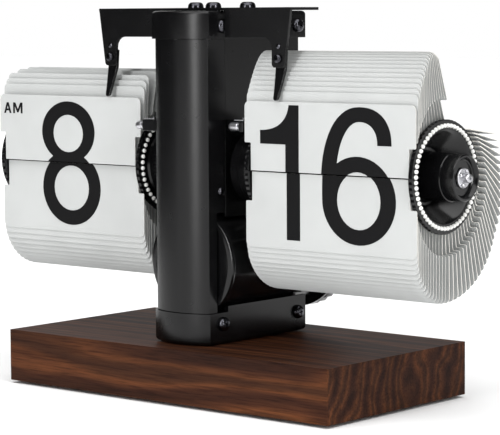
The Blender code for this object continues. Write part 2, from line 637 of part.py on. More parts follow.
def build_front_card(drum, first_angle):
    """The card that shows the upper half of the number, hinged on its two pins."""
    side = drum["side"]
    pivot_z = pin_place(first_angle, drum["pin_radius"])[1]
    heel = drum["seam_z"] + SEAM / 2 - pivot_z
    rows = [(heel, *neck_span(side))] + card_widths(side, FLAP_TOP - pivot_z)
    half = FLAP_THICKNESS / 2
    sections = []
    for along, x_near, x_far in rows:
        z = pivot_z + along
        sections.append([(x_near, FLAP_Y - half, z), (x_far, FLAP_Y - half, z),
                         (x_far, FLAP_Y + half, z), (x_near, FLAP_Y + half, z)])
    middle = side * (ROLL_INNER_X + ROLL_OUTER_X) / 2
    make_object(f"{drum['name']}_front_card", lofted(sections), "card_white",
                pivot=(middle, FLAP_Y, pivot_z), smooth=False)


def heading(tilt):
    """A direction in the YZ plane: 0 is up, 90 is to the back and 180 is down."""
    turn = math.radians(tilt)
    return (math.sin(turn), math.cos(turn))


def blend(value, low, high, start, end):
    share = (value - low) / (high - low)
    return start + (end - start) * min(max(share, 0), 1)


def upright_tilts(angles, pin_radius, tip_spacing):
    """Cards standing at the front. Their free edges are tip_spacing apart, front to back."""
    front_y = pin_place(0, pin_radius)[0]
    tilts = []
    for number, angle in enumerate(angles, start=1):
        lean = front_y + number * tip_spacing - pin_place(angle, pin_radius)[0]
        tilts.append(math.degrees(math.asin(lean / CARD_LENGTH)))
    return tilts


def hanging_tilts(angles, pin_radius, tip_spacing):
    """Cards hanging at the front, plumb unless the card in front of them is in the way."""
    tip_y = pin_place(0, pin_radius)[0]
    tilts = []
    for angle in reversed(angles):
        root_y = pin_place(angle, pin_radius)[0]
        tip_y = max(root_y, tip_y + tip_spacing) if tilts else root_y
        tilts.append(180 - math.degrees(math.asin((tip_y - root_y) / CARD_LENGTH)))
    return tilts[::-1]


def build_rear_and_lower(drum, rear, lower, lean):
    """Cards behind the drum lie open like a book's pages, then hang. lean is their spread."""
    name, first_lean, side_lean = drum["name"], lean[0], lean[1]
    tilts = [blend(angle, rear[0], 180, first_lean, side_lean) if angle < 180 else
             blend(angle, 180, 270, side_lean, 180) for angle in rear]
    build_card_stack(f"{name}_rear_cards", drum, rear, tilts)
    tilts = hanging_tilts(lower, drum["pin_radius"], LOWER_TIP_SPACING)
    stack = build_card_stack(f"{name}_lower_cards", drum, lower, tilts)
    add_heel(stack, drum, lower[-1])


def split_angles(drum):
    """Where the front card's pins are, then those of the upper, the rear and the lower cards."""
    step = 360 / drum["cards"]
    angles = [step * (number + 0.5) for number in range(drum["cards"])]
    rear, lower = drum["first_rear"], drum["first_lower"]
    return angles[0], angles[1:rear], angles[rear:lower], angles[lower:]


def build_cards():
    front, upper, rear, lower = split_angles(MINUTE)
    build_front_card(MINUTE, front)
    build_card_stack("minute_upper_cards", MINUTE, upper,
                     upright_tilts(upper, MINUTE["pin_radius"], MINUTE_TIP_SPACING))
    build_rear_and_lower(MINUTE, rear, lower, (98, 152))

    front, upper, rear, lower = split_angles(HOUR)
    build_front_card(HOUR, front)
    tilts = [1.2 * number if angle < 30 else blend(angle, 33, 100, 11, 88)
             for number, angle in enumerate(upper, start=1)]
    build_card_stack("hour_upper_cards", HOUR, upper, tilts)
    build_rear_and_lower(HOUR, rear, lower, (92, 155))


# ---------------------------------------------------------------- wheels and motor

def gear_outline(centre, teeth, tooth_at):
    """A spur wheel's rim in the YZ plane, with a tooth centred at the angle tooth_at."""
    pitch_radius = GEAR_MODULE * teeth / 2
    tip, root = pitch_radius + 0.75 * GEAR_MODULE, pitch_radius - 1.15 * GEAR_MODULE
    pitch = 360 / teeth
    outline = []
    for tooth in range(teeth):
        middle = tooth_at + tooth * pitch
        for share, radius in ((0, tip), (0.5, root)):
            angle = math.radians(middle + share * pitch)
            outline.append((centre[0] + radius * math.cos(angle),
                            centre[1] + radius * math.sin(angle)))
    return outline


def build_train():
    """From the motor to the drums: 10 to 60 teeth, then 14 to 56 and 10 to 60 for the hours."""
    axis, lay, motor = (AXIS_Y, AXIS_Z), (AXIS_Y, LAY_Z), (MOTOR_Y, AXIS_Z)
    drum_pivot, lay_pivot, motor_pivot = (0, *axis), (0, *lay), (0, *motor)
    wheel = make_object("minute_wheel", extruded(gear_outline(axis, MINUTE_WHEEL_TEETH, 0), "X",
                                                 9.4, 11.2), "brass", pivot=drum_pivot)
    boolean(wheel, extruded(gear_outline(axis, MINUTE_PINION_TEETH, 90), "X", 4.8, 9.6), "UNION")
    boolean(wheel, rod("X", drum_pivot, AXLE_BORE, 0, CHASSIS_HALF_WIDTH))

    mesh_turn = 180 / HOUR_WHEEL_TEETH
    wheel = make_object("hour_wheel",
                        extruded(gear_outline(axis, HOUR_WHEEL_TEETH, 90 + mesh_turn), "X",
                                 -7.8, -5.2), "brass", pivot=drum_pivot)
    boolean(wheel, rod("X", drum_pivot, AXLE_BORE, -CHASSIS_HALF_WIDTH, 0))

    mesh_turn = 180 / LAY_WHEEL_TEETH
    arbor = make_object("lay_arbor",
                        extruded(gear_outline(lay, LAY_WHEEL_TEETH, -90 + mesh_turn), "X",
                                 5.2, 7.8), "brass", pivot=lay_pivot)
    boolean(arbor, rod("X", lay_pivot, ARBOR_RADIUS, -ARBOR_END_X, ARBOR_END_X), "UNION")
    boolean(arbor, extruded(gear_outline(lay, LAY_PINION_TEETH, -90), "X", -8.2, -4.8), "UNION")

    mesh_turn = 180 / MOTOR_PINION_TEETH
    make_object("motor_pinion", extruded(gear_outline(motor, MOTOR_PINION_TEETH, 180 + mesh_turn),
                                         "X", 9.3, 11.4), "brass", pivot=motor_pivot)
    make_object("motor_body", rod("X", motor_pivot, MOTOR_RADIUS, 1.2, 8.9, segments=24), "steel")

    half = PLATE_HALF_THICKNESS
    plate = make_object("centre_plate", box((-half, -16.5, 81.5), (half, 24.0, 121.0)), "steel",
                        smooth=False)
    boolean(plate, rod("X", drum_pivot, AXLE_BORE, -BEYOND, BEYOND))
    boolean(plate, rod("X", lay_pivot, LAY_BORE, -BEYOND, BEYOND))


# ---------------------------------------------------------------- card guides

def guide_pin(name, centre, flat_x, length):
    """A steel pin whose round end points to the viewer's left."""
    radius, shoulder = GUIDE_RADIUS, flat_x - length + GUIDE_RADIUS
    profile = [(flat_x, 0), (flat_x, radius), (shoulder, radius),
               (shoulder - radius * 0.7, radius * 0.72), (shoulder - radius, 0)]
    make_object(name, turned(profile, "X", centre, 12, closed=False), "steel")


def build_guides():
    """Round-ended pins beside the inner edges of the rolls, on blocks fixed to the column."""
    root_x = CHASSIS_HALF_WIDTH + GAP
    end_x = MINUTE_GUIDE_X + 2.2
    outline = [(root_x, -19.3), (root_x, -15.8), (end_x, -15.8), (end_x, -25.2),
               (MINUTE_GUIDE_X, -25.2), (MINUTE_GUIDE_X, -19.3)]
    make_object("minute_guide_arm", extruded(outline, "Z", MINUTE_GUIDE_Z - 2.2,
                                             MINUTE_GUIDE_Z + 2.3), "black_plastic", smooth=False)
    guide_pin("minute_guide_pin", (0, MINUTE_GUIDE_Y, MINUTE_GUIDE_Z), MINUTE_GUIDE_X - GAP, 6.3)
    make_object("hour_guide_arm", box((HOUR_GUIDE_X, HOUR_GUIDE_Y - 1.9, HOUR_GUIDE_Z - 2.3),
                                      (-SHELL_HALF_WIDTH - GAP, HOUR_GUIDE_Y + 1.9,
                                       HOUR_GUIDE_Z + 2.5)), "black_plastic", smooth=False)
    guide_pin("hour_guide_pin", (0, HOUR_GUIDE_Y, HOUR_GUIDE_Z), HOUR_GUIDE_X - GAP, 4.8)


clear_scene()
build_foot()
build_bottom_cap()
build_top_cap()
build_cradle()
build_shell()
build_chassis()
build_side_screws()
build_canister()
build_bracket()
build_fingers()
build_drum(MINUTE)
build_drum(HOUR)
build_cards()
build_train()
build_guides()
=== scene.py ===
# %% [markdown]
# # A flip number clock in Blender
# The clock has a walnut foot, a black steel column and two rolls of white number cards.
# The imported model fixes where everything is. This script gives it its looks: it measures the
# frame, makes finer pieces for what the eye rests on, and keeps the plain solids inside.
# Shapes are worked out in millimetres and scaled to metres at the end.

import json
import math

import bmesh
import bpy
from mathutils import Matrix, Quaternion, Vector


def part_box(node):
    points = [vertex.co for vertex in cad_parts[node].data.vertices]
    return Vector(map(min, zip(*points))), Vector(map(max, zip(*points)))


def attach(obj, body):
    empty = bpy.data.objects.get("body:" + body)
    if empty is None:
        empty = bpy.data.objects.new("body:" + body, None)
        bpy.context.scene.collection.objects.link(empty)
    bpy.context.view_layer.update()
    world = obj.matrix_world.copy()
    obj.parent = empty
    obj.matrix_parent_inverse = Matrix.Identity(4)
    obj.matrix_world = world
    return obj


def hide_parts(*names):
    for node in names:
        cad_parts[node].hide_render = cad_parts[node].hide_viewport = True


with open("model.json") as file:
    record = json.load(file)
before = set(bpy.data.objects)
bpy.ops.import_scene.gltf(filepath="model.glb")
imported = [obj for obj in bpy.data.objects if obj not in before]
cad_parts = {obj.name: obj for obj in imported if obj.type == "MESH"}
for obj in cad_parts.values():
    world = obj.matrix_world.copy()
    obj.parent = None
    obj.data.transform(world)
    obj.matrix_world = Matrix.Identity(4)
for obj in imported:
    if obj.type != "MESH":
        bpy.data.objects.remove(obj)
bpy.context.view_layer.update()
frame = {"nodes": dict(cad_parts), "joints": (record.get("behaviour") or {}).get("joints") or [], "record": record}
nodes = frame["nodes"]
MM = 0.001

# %% [markdown]
# The camera stands to the right and a little above, with a long lens, so that upright edges
# stay nearly parallel.

# %% Camera
CAMERA_PLACE = Vector((0.62196, -0.72034, 0.16273))
CAMERA_AIM = Vector((0.01039, 0.0, 0.07598))
CAMERA_ROLL = math.radians(-0.317)
LENS, SENSOR_WIDTH = 158.9, 36.0  # millimetres


def new_object(name, data):
    made = bpy.data.objects.new(name, data)
    bpy.context.scene.collection.objects.link(made)
    return made


camera_data = bpy.data.cameras.new("camera")
camera_data.lens = LENS
camera_data.sensor_width = SENSOR_WIDTH
camera = new_object("camera", camera_data)
camera.location = CAMERA_PLACE
camera.rotation_mode = "QUATERNION"
camera.rotation_quaternion = ((CAMERA_AIM - CAMERA_PLACE).to_track_quat("-Z", "Y")
                              @ Quaternion((0, 0, 1), CAMERA_ROLL))
bpy.context.scene.camera = camera
print("camera distance", round((CAMERA_AIM - CAMERA_PLACE).length, 3), "m")

# %% [markdown]
# ## Materials
# Every finish is a small node tree on Object coordinates, so its pattern is fixed to the
# piece and has a real size. One function adds a node, sets it and links it.

# %% Node and colour helpers
def linear(code):
    """An sRGB hex colour as linear red, green, blue and alpha."""
    channels = [int(code[start:start + 2], 16) / 255 for start in (1, 3, 5)]
    return tuple(value / 12.92 if value <= 0.04045 else ((value + 0.055) / 1.055) ** 2.4
                 for value in channels) + (1,)


def add(tree, kind, inputs=None, **settings):
    """Add a node, set its properties, and set or link its inputs."""
    node = tree.nodes.new(kind)
    for name, value in settings.items():
        setattr(node, name, value)
    for name, value in (inputs or {}).items():
        if isinstance(value, bpy.types.NodeSocket):
            tree.links.new(value, node.inputs[name])
        else:
            node.inputs[name].default_value = value
    return node


def new_material(name, ior=1.5, metallic=0.0, sheen=0.0, specular=0.5):
    """A material, its tree and shader, and the coordinates that patterns follow."""
    material = bpy.data.materials.new(name)
    material.use_nodes = True
    tree = material.node_tree
    shader = tree.nodes["Principled BSDF"]
    for socket, value in (("IOR", ior), ("Metallic", metallic), ("Sheen Weight", sheen),
                          ("Specular IOR Level", specular)):
        shader.inputs[socket].default_value = value
    where = add(tree, "ShaderNodeTexCoord").outputs["Object"]
    return material, tree, shader, where


def noise(tree, where, size, detail=2.0, roughness=0.5, output="Fac"):
    """Noise whose blobs are about size millimetres across."""
    node = add(tree, "ShaderNodeTexNoise", {"Vector": where, "Scale": 1 / (size * MM),
                                            "Detail": detail, "Roughness": roughness})
    return node.outputs[output]


def ramp(tree, value, *stops):
    """A colour ramp through (position, colour) stops."""
    node = add(tree, "ShaderNodeValToRGB", {"Fac": value})
    points = node.color_ramp.elements
    while len(points) < len(stops):
        points.new(0.5)
    for point, (position, colour) in zip(points, stops):
        point.position = position
        point.color = linear(colour)
    return node.outputs["Color"]


def paint(tree, shader, value, dark, light, low=0.3, high=0.7):
    """Base colour from dark to light, as the value goes from low to high."""
    tree.links.new(ramp(tree, value, (low, dark), (high, light)), shader.inputs["Base Color"])


def gloss(tree, shader, value, low, high):
    """Roughness between low and high, following the value."""
    node = add(tree, "ShaderNodeMapRange", {"Value": value, "To Min": low, "To Max": high})
    tree.links.new(node.outputs["Result"], shader.inputs["Roughness"])


def bump(tree, shader, height, depth, strength):
    """Relief of depth millimetres on the shader's normal."""
    node = add(tree, "ShaderNodeBump", {"Height": height, "Strength": strength,
                                        "Distance": depth * MM})
    tree.links.new(node.outputs["Normal"], shader.inputs["Normal"])


# %% [markdown]
# Black enamel is paint baked on to sheet steel. It has a soft sheen and a faint orange peel,
# which breaks up the highlight.

# %% Baked enamel
def baked_enamel():
    material, tree, shader, where = new_material("baked_black_enamel", specular=0.32)
    cloud = noise(tree, where, 9.0, detail=3.0)
    paint(tree, shader, cloud, "#080809", "#0c0c0d")
    gloss(tree, shader, cloud, 0.24, 0.29)
    bump(tree, shader, noise(tree, where, 0.9, detail=1.0), 0.012, 0.5)
    return material


# %% [markdown]
# The hubs, the canister and the fingers are moulded ABS, which is glossier than the enamel
# and has a very fine grain from the mould.

# %% Moulded ABS
def moulded_abs():
    material, tree, shader, where = new_material("moulded_black_abs", ior=1.53, specular=0.35)
    cloud = noise(tree, where, 14.0)
    paint(tree, shader, cloud, "#09090a", "#0e0e0f")
    gloss(tree, shader, cloud, 0.15, 0.23)
    bump(tree, shader, noise(tree, where, 0.5), 0.006, 0.4)
    return material


# %% [markdown]
# Walnut is cut from a log whose rings run round an axis beside the block, along X. They give
# flowing bands on the front and the top, and steep arcs on the end grain, all from one solid
# pattern. Short dark pores follow the grain.

# %% Oiled walnut
RING_SPACING = 11.0  # a pair of light and dark bands; wider than real rings, to show
PITH = (0.0, -0.081, 0.048)  # where the middle of the log was, in metres
WAVE_PERIOD = 0.314  # between the rings of a wave texture of scale one, in metres
RING_WARP = (0.0, 0.028, 0.028)


def oiled_walnut():
    material, tree, shader, where = new_material("oiled_walnut", ior=1.45, specular=0.12)
    along = add(tree, "ShaderNodeMapping",
                {"Vector": where, "Scale": (0.16, 1.0, 1.0),
                 "Location": (0, -PITH[1], -PITH[2])}).outputs["Vector"]
    bent = add(tree, "ShaderNodeVectorMath",
               {0: noise(tree, along, 30.0, output="Color"), 1: RING_WARP},
               operation="MULTIPLY").outputs["Vector"]
    log = add(tree, "ShaderNodeVectorMath", {0: along, 1: bent}, operation="ADD")
    rings = add(tree, "ShaderNodeTexWave",
                {"Vector": log.outputs["Vector"], "Scale": WAVE_PERIOD / (RING_SPACING * MM),
                 "Distortion": 1.4, "Detail": 3.0, "Detail Scale": 2.0,
                 "Detail Roughness": 0.6}, wave_type="RINGS", rings_direction="X")
    lengthwise = add(tree, "ShaderNodeMapping",
                     {"Vector": where, "Scale": (0.04, 1.0, 1.0)}).outputs["Vector"]
    patch = noise(tree, along, 45.0, detail=1.0)
    streak = noise(tree, lengthwise, 5.0)
    fibre = noise(tree, lengthwise, 0.8, detail=4.0, roughness=0.7)
    colour = ramp(tree, rings.outputs["Fac"], (0.0, "#3e2418"), (0.4, "#563422"),
                  (0.75, "#6e4429"), (1.0, "#4a2e1e"))
    for value, share, dark, light in ((patch, 0.9, (0.35, "#bcb2ac"), (0.65, "#f8eadc")),
                                      (streak, 0.5, (0.38, "#8c7c74"), (0.56, "#ffffff")),
                                      (fibre, 0.6, (0.36, "#77675f"), (0.55, "#ffffff"))):
        colour = add(tree, "ShaderNodeMixRGB",
                     {"Fac": share, "Color1": colour, "Color2": ramp(tree, value, dark, light)},
                     blend_type="MULTIPLY").outputs["Color"]
    tree.links.new(colour, shader.inputs["Base Color"])
    gloss(tree, shader, fibre, 0.66, 0.50)
    bump(tree, shader, fibre, 0.04, 0.5)
    return material


# %% [markdown]
# The cards are rigid PVC sheet in a cool off-white. Their punched edges are creamier, and painted much lighter
# than the faces as a highlight for the light the edges catch.
# The ink is a matt screen print.

# %% Card sheet and ink
def sheet_pvc(name, light, dark, smooth, rough):
    material, tree, shader, where = new_material(name, ior=1.52)
    cloud = noise(tree, where, 22.0)
    paint(tree, shader, cloud, dark, light)
    gloss(tree, shader, cloud, smooth, rough)
    bump(tree, shader, noise(tree, where, 0.35, detail=1.0), 0.004, 0.4)
    return material


def screen_ink():
    material, tree, shader, where = new_material("screen_printed_ink", ior=1.45, specular=0.15)
    grain = noise(tree, where, 0.6, detail=3.0)
    paint(tree, shader, grain, "#0c0c0d", "#111112")
    gloss(tree, shader, grain, 0.50, 0.62)
    return material


# %% [markdown]
# Zinc-plated steel is bright and blotchy, black-oxide screws are dark but still metallic, and
# the brass wheels have fine turning marks. The pins are milky nylon.

# %% Metals, nylon, felt and jacket
def plated(name, light, dark, roughness, size):
    material, tree, shader, where = new_material(name, metallic=1.0)
    cloud = noise(tree, where, size, detail=3.0)
    paint(tree, shader, cloud, dark, light)
    gloss(tree, shader, cloud, roughness - 0.05, roughness + 0.08)
    return material


def turned_brass():
    material, tree, shader, where = new_material("machined_brass", metallic=1.0)
    marks = add(tree, "ShaderNodeTexWave", {"Vector": where, "Scale": 900.0, "Distortion": 1.5},
                wave_type="RINGS", rings_direction="X").outputs["Fac"]
    paint(tree, shader, marks, "#a8843f", "#c8a45a", low=0.0, high=1.0)
    gloss(tree, shader, marks, 0.24, 0.36)
    return material


def milky_nylon():
    material, tree, shader, where = new_material("moulded_white_nylon", ior=1.53)
    cloud = noise(tree, where, 3.0)
    paint(tree, shader, cloud, "#eeeeea", "#f8f8f5")
    gloss(tree, shader, cloud, 0.32, 0.45)
    return material


def wool_felt():
    material, tree, shader, where = new_material("pressed_wool_felt", sheen=0.4)
    hairs = noise(tree, where, 0.6, detail=5.0, roughness=0.7)
    paint(tree, shader, hairs, "#121212", "#2a2a2a")
    gloss(tree, shader, hairs, 0.85, 1.0)
    bump(tree, shader, hairs, 0.15, 0.8)
    return material


def printed_jacket():
    material, tree, shader, where = new_material("printed_steel_jacket", metallic=0.3)
    front_to_back = add(tree, "ShaderNodeSeparateXYZ", {"Vector": where}).outputs["Y"]
    paint(tree, shader, front_to_back, "#5c4a20", "#2b2b2e", low=0.0, high=0.01)
    gloss(tree, shader, noise(tree, where, 6.0), 0.25, 0.35)
    return material


# %% One material for each slot of the record
FINISH = {
    "walnut": oiled_walnut(),
    "felt": wool_felt(),
    "black_enamel": baked_enamel(),
    "black_plastic": moulded_abs(),
    "pin_nylon": milky_nylon(),
    "card_white": sheet_pvc("printed_pvc_sheet", "#c4c6c5", "#bec0bf", 0.42, 0.52),
    "steel": plated("zinc_plated_steel", "#dcdcdf", "#bcbcc0", 0.34, 4.0),
    "blackened_steel": plated("black_oxide_steel", "#56565b", "#323236", 0.20, 2.0),
    "brass": turned_brass(),
    "cell_jacket": printed_jacket(),
}
# Edge material: the creamy tint of punched PVC, painted much lighter than the faces as a highlight
CARD_EDGE_TINT_AND_HIGHLIGHT = sheet_pvc("punched_pvc_edge_tint_and_painted_highlight", "#f0ede6", "#e4e1d9", 0.5, 0.6)
INK = screen_ink()
for part in frame["record"]["subparts"]:
    mesh = nodes[part["node"]].data
    mesh.materials.clear()
    mesh.materials.append(FINISH[part["material_slot"]])
print("materials:", len(FINISH) + 2)

# %% [markdown]
# ## Tools for shaping
# A piece starts as a profile that is turned, or an outline that is drawn out. Everything is
# placed by numbers read from the frame.

# %% Measures and shaping helpers
AXES = {"X": Vector((1, 0, 0)), "Y": Vector((0, 1, 0)), "Z": Vector((0, 0, 1))}


def span(node):
    """Lowest and highest corner of a CAD node, in millimetres."""
    low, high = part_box(node)
    return low / MM, high / MM


def in_space(point, axis, along):
    """A 3-D point from a 2-D point in the plane across axis and a distance along it."""
    a, b = point
    return Vector({"X": (along, a, b), "Y": (a, along, b), "Z": (a, b, along)}[axis])


def loop(shape, points):
    """A closed loop of edges through the points."""
    corners = [shape.verts.new(point) for point in points]
    return [shape.edges.new(pair) for pair in zip(corners, corners[1:] + corners[:1])]


def new_verts(geom):
    return [item for item in geom if isinstance(item, bmesh.types.BMVert)]


def ends(edges):
    return {vert for edge in edges for vert in edge.verts}


def move(shape, x, y, z):
    bmesh.ops.translate(shape, verts=shape.verts, vec=(x, y, z))


def face_outward(shape):
    bmesh.ops.recalc_face_normals(shape, faces=shape.faces)


def thicken(shape, vec):
    """Draw the faces of a flat shape out by vec, which makes it solid."""
    top = bmesh.ops.extrude_face_region(shape, geom=shape.faces[:])["geom"]
    bmesh.ops.translate(shape, verts=new_verts(top), vec=vec)
    face_outward(shape)


def cut_at(shape, point, normal, **options):
    """Cut every face that a plane passes through."""
    bmesh.ops.bisect_plane(shape, geom=shape.verts[:] + shape.edges[:] + shape.faces[:],
                           plane_co=point, plane_no=normal, **options)


def drawn_out(outline, axis, low, high):
    """A prism: the outline, in the plane across axis, drawn out from low to high."""
    shape = bmesh.new()
    shape.faces.new([shape.verts.new(in_space(point, axis, low)) for point in outline])
    thicken(shape, AXES[axis] * (high - low))
    return shape


def turned(profile, centre, axis, steps):
    """A turned solid. The profile lists (place along the axis, radius) and is closed."""
    across = {"X": "Y", "Y": "Z", "Z": "X"}[axis]
    shape = bmesh.new()
    middle = Vector(centre)
    middle["XYZ".index(axis)] = 0.0
    edges = loop(shape, [middle + AXES[axis] * along + AXES[across] * radius
                         for along, radius in profile])
    bmesh.ops.spin(shape, geom=list(shape.verts) + edges, cent=middle, axis=AXES[axis],
                   angle=math.tau, steps=steps, use_merge=True)
    bmesh.ops.remove_doubles(shape, verts=shape.verts, dist=0.0005)
    loose = [edge for edge in shape.edges if not edge.link_faces]
    bmesh.ops.delete(shape, geom=loose, context="EDGES")
    face_outward(shape)
    return shape


def arc(centre, half_width, half_height, start, end, steps, square=2.0):
    """Points on an arc, angles in degrees. Above 2, square fills out the arc's corners."""
    points = []
    for step in range(steps + 1):
        angle = math.radians(start + (end - start) * step / steps)
        across, up = [math.copysign(abs(value) ** (2 / square), value)
                      for value in (math.cos(angle), math.sin(angle))]
        points.append((centre[0] + half_width * across, centre[1] + half_height * up))
    return points


def draw_edges(shape, edges):
    """Draw edges out and give back the new ones."""
    geom = bmesh.ops.extrude_edge_only(shape, edges=edges)["geom"]
    fresh = set(new_verts(geom))
    return [item for item in geom if isinstance(item, bmesh.types.BMEdge)
            and fresh.issuperset(item.verts)]


# %% Finishing a piece
BEVEL_FROM, SHARP_FROM = math.radians(40), math.radians(32)  # angles between two faces
WELD_GAP = 0.00001  # metres


def modifier(piece, kind, **settings):
    made = piece.modifiers.new(kind.lower(), kind)
    for name, value in settings.items():
        setattr(made, name, value)


def ease_edges(piece, width):
    """Break the sharp edges by width millimetres."""
    modifier(piece, "BEVEL", width=width * MM, segments=2, limit_method="ANGLE",
             angle_limit=BEVEL_FROM, harden_normals=True)


def as_mesh(name, shape):
    mesh = bpy.data.meshes.new(name)
    shape.to_mesh(mesh)
    shape.free()
    return mesh


def finish_piece(name, shape, slot, body="frame", replaced=(), wall=0.0, edge=0.0, extra=()):
    """Make the bmesh, in millimetres, a finished piece that rides on a body."""
    bmesh.ops.scale(shape, verts=shape.verts, vec=(MM, MM, MM))
    mesh = as_mesh(name, shape)
    mesh.shade_smooth()
    mesh.set_sharp_from_angle(angle=SHARP_FROM)
    for material in ([FINISH[slot]] if slot else []) + list(extra):
        mesh.materials.append(material)
    piece = new_object(name, mesh)
    if wall:
        modifier(piece, "SOLIDIFY", thickness=wall * MM, offset=-1.0, use_even_offset=True)
    if edge:
        ease_edges(piece, edge)
    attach(piece, body)
    if replaced:
        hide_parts(*replaced)
    print(f"{name}: {len(mesh.polygons)} faces")


def merged(parts):
    """Several bmeshes in one."""
    whole = bmesh.new()
    for part in parts:
        mesh = as_mesh("part", part)
        whole.from_mesh(mesh)
        bpy.data.meshes.remove(mesh)
    return whole


# %% [markdown]
# ## Foot and inner parts
# The foot is a plain block with crisp edges, so the CAD solid stays and gets a weld and a
# narrow bevel, and so do the parts inside the column.

# %% Carried-over solids
def ease_solid(name, width):
    """Weld a CAD solid's facets together and break its edges."""
    modifier(nodes[name], "WELD", merge_threshold=WELD_GAP)
    ease_edges(nodes[name], width)
    print("eased", name)


EASED = {"walnut_foot": 0.35, "rest_pad": 0.2, "chassis_frame": 0.25, "canister_cradle": 0.3,
         "centre_plate": 0.15, "motor_body": 0.4}
for name, width in EASED.items():
    ease_solid(name, width)

# %% [markdown]
# ## Column
# The front of the column is one sheet with a bowed face and two short sides: a strip is bent
# to the plan, cut away beside the canister and given its thickness. The top and bottom caps
# follow the same plan, a little larger.

# %% Plan of the column
SHOULDER_Y = -31.7  # where the bowed face meets the flat sides
shell_low, shell_high = span("front_shell")
HALF = shell_high.x
BOW = SHOULDER_Y - shell_low.y
BOW_RADIUS = (HALF ** 2 + BOW ** 2) / (2 * BOW)


def column_plan(grow, back_y):
    """The bowed face, from left to right, and the back ends of the two sides."""
    centre = (0, SHOULDER_Y - BOW + BOW_RADIUS)
    radius = BOW_RADIUS + grow
    half_angle = math.degrees(math.asin((HALF + grow) / radius))
    face = arc(centre, radius, radius, -90 - half_angle, -90 + half_angle, 32)
    return [(-HALF - grow, back_y)] + face + [(HALF + grow, back_y)]


# %% Front shell
CUT_TOP, CUT_Y = 80.0, -26.6  # below this height the sides stop short of the canister
WALL = 1.4
CLOSED = 0.25  # how much nearer the sheet parts meet than the plain solids do


def front_shell():
    shape = bmesh.new()
    plan = column_plan(0, shell_high.y)
    corners = [shape.verts.new((x, y, shell_low.z - CLOSED)) for x, y in plan]
    path = [shape.edges.new(pair) for pair in zip(corners, corners[1:])]
    raised = draw_edges(shape, path)
    height = shell_high.z - shell_low.z + 2 * CLOSED
    bmesh.ops.translate(shape, verts=list(ends(raised)), vec=(0, 0, height))
    cut_at(shape, (0, CUT_Y, 0), AXES["Y"])
    cut_at(shape, (0, 0, CUT_TOP), AXES["Z"])
    cut = [face for face in shape.faces if face.calc_center_median().y > CUT_Y
           and face.calc_center_median().z < CUT_TOP]
    bmesh.ops.delete(shape, geom=cut, context="FACES")
    face_outward(shape)
    if next(face for face in shape.faces if abs(face.normal.y) > 0.9).normal.y > 0:
        bmesh.ops.reverse_faces(shape, faces=shape.faces)
    finish_piece("bowed_front_shell", shape, "black_enamel", replaced=["front_shell"],
                 wall=WALL, edge=0.5)


front_shell()


# %% Caps
BRACKET_SHEET = 1.25  # the top cap ends under the bracket's sheet
CAP_EDGE = 0.22


def cap_block(grow, back_y, low, high, rim_z, rim_radius):
    """A closed prism on the column's plan with one rim rounded."""
    shape = drawn_out(column_plan(grow, back_y), "Z", low, high)
    rim = [edge for edge in shape.edges
           if all(abs(vert.co.z - rim_z) < 0.01 for vert in edge.verts)]
    bmesh.ops.bevel(shape, geom=rim, offset=rim_radius, segments=5, profile=0.5, material=-1,
                    affect="EDGES", clamp_overlap=True)
    return shape


def top_cap():
    low, high = span("top_cap")
    top = span("top_bracket")[1].z - BRACKET_SHEET
    shape = cap_block(high.x - HALF, high.y, low.z, top, top, 1.6)
    under = [face for face in shape.faces if face.normal.z < -0.9]
    bmesh.ops.delete(shape, geom=under, context="FACES")
    finish_piece("folded_top_cap", shape, "black_enamel", replaced=["top_cap"],
                 wall=WALL, edge=CAP_EDGE)


def bottom_cap():
    low, high = span("bottom_cap")
    front_top, side_y, back_top = 37.7, -20.6, 35.2
    canister_half = 14.0
    shape = cap_block(high.x - HALF, high.y, low.z, high.z, low.z, 2.2)
    cuts = (((0, 0, front_top), "Z"), ((0, side_y, 0), "Y"), ((0, 0, back_top), "Z"),
            ((canister_half, 0, 0), "X"), ((-canister_half, 0, 0), "X"))
    for point, axis in cuts:
        cut_at(shape, point, AXES[axis])
    gone = []
    for face in shape.faces:
        middle = face.calc_center_median()
        at_front = middle.y < side_y and middle.z > front_top
        at_back = (middle.y > high.y - 0.1 and middle.z > back_top
                   and abs(middle.x) < canister_half)
        if at_front or at_back or face.normal.z > 0.9:
            gone.append(face)
    bmesh.ops.delete(shape, geom=gone, context="FACES")
    finish_piece("folded_bottom_cap", shape, "black_enamel", replaced=["bottom_cap"],
                 wall=WALL, edge=CAP_EDGE)


top_cap()
bottom_cap()

# %% [markdown]
# ## Top bracket and fingers
# The bracket is one folded sheet whose aprons taper to legs. Its CAD solid already has the
# folds, so it only needs its edges broken, which draws a thin line of light.

# %% Bracket
ease_solid("top_bracket", 0.3)


# %% Rivets that hold the spring behind each leg
def leg_rivet(side_name):
    low, high = span(f"{side_name}_finger")
    head, height, above, sunk = 1.15, 0.55, 1.9, 0.05
    front = span("top_bracket")[0].y
    middle = ((low.x + high.x) / 2, 0, high.z + above)
    profile = [(front + sunk, 0), (front + sunk, head), (front - height * 0.5, head * 0.92),
               (front - height * 0.85, head * 0.6), (front - height, 0)]
    finish_piece(f"{side_name}_leg_rivet", turned(profile, middle, "Y", 20), "blackened_steel")


SIDES = {"left": -1, "right": 1}
for side_name in SIDES:
    leg_rivet(side_name)

# %% [markdown]
# Each finger is a moulded tongue, which leans forward from where it is screwed to the leg.

# %% Fingers
TIP_RADIUS, BEND_HALF, ROOT_HALF = 1.3, 2.4, 3.0  # half widths, from the tip upwards
BEND_Z, FINGER_THICKNESS = 140.3, 1.4


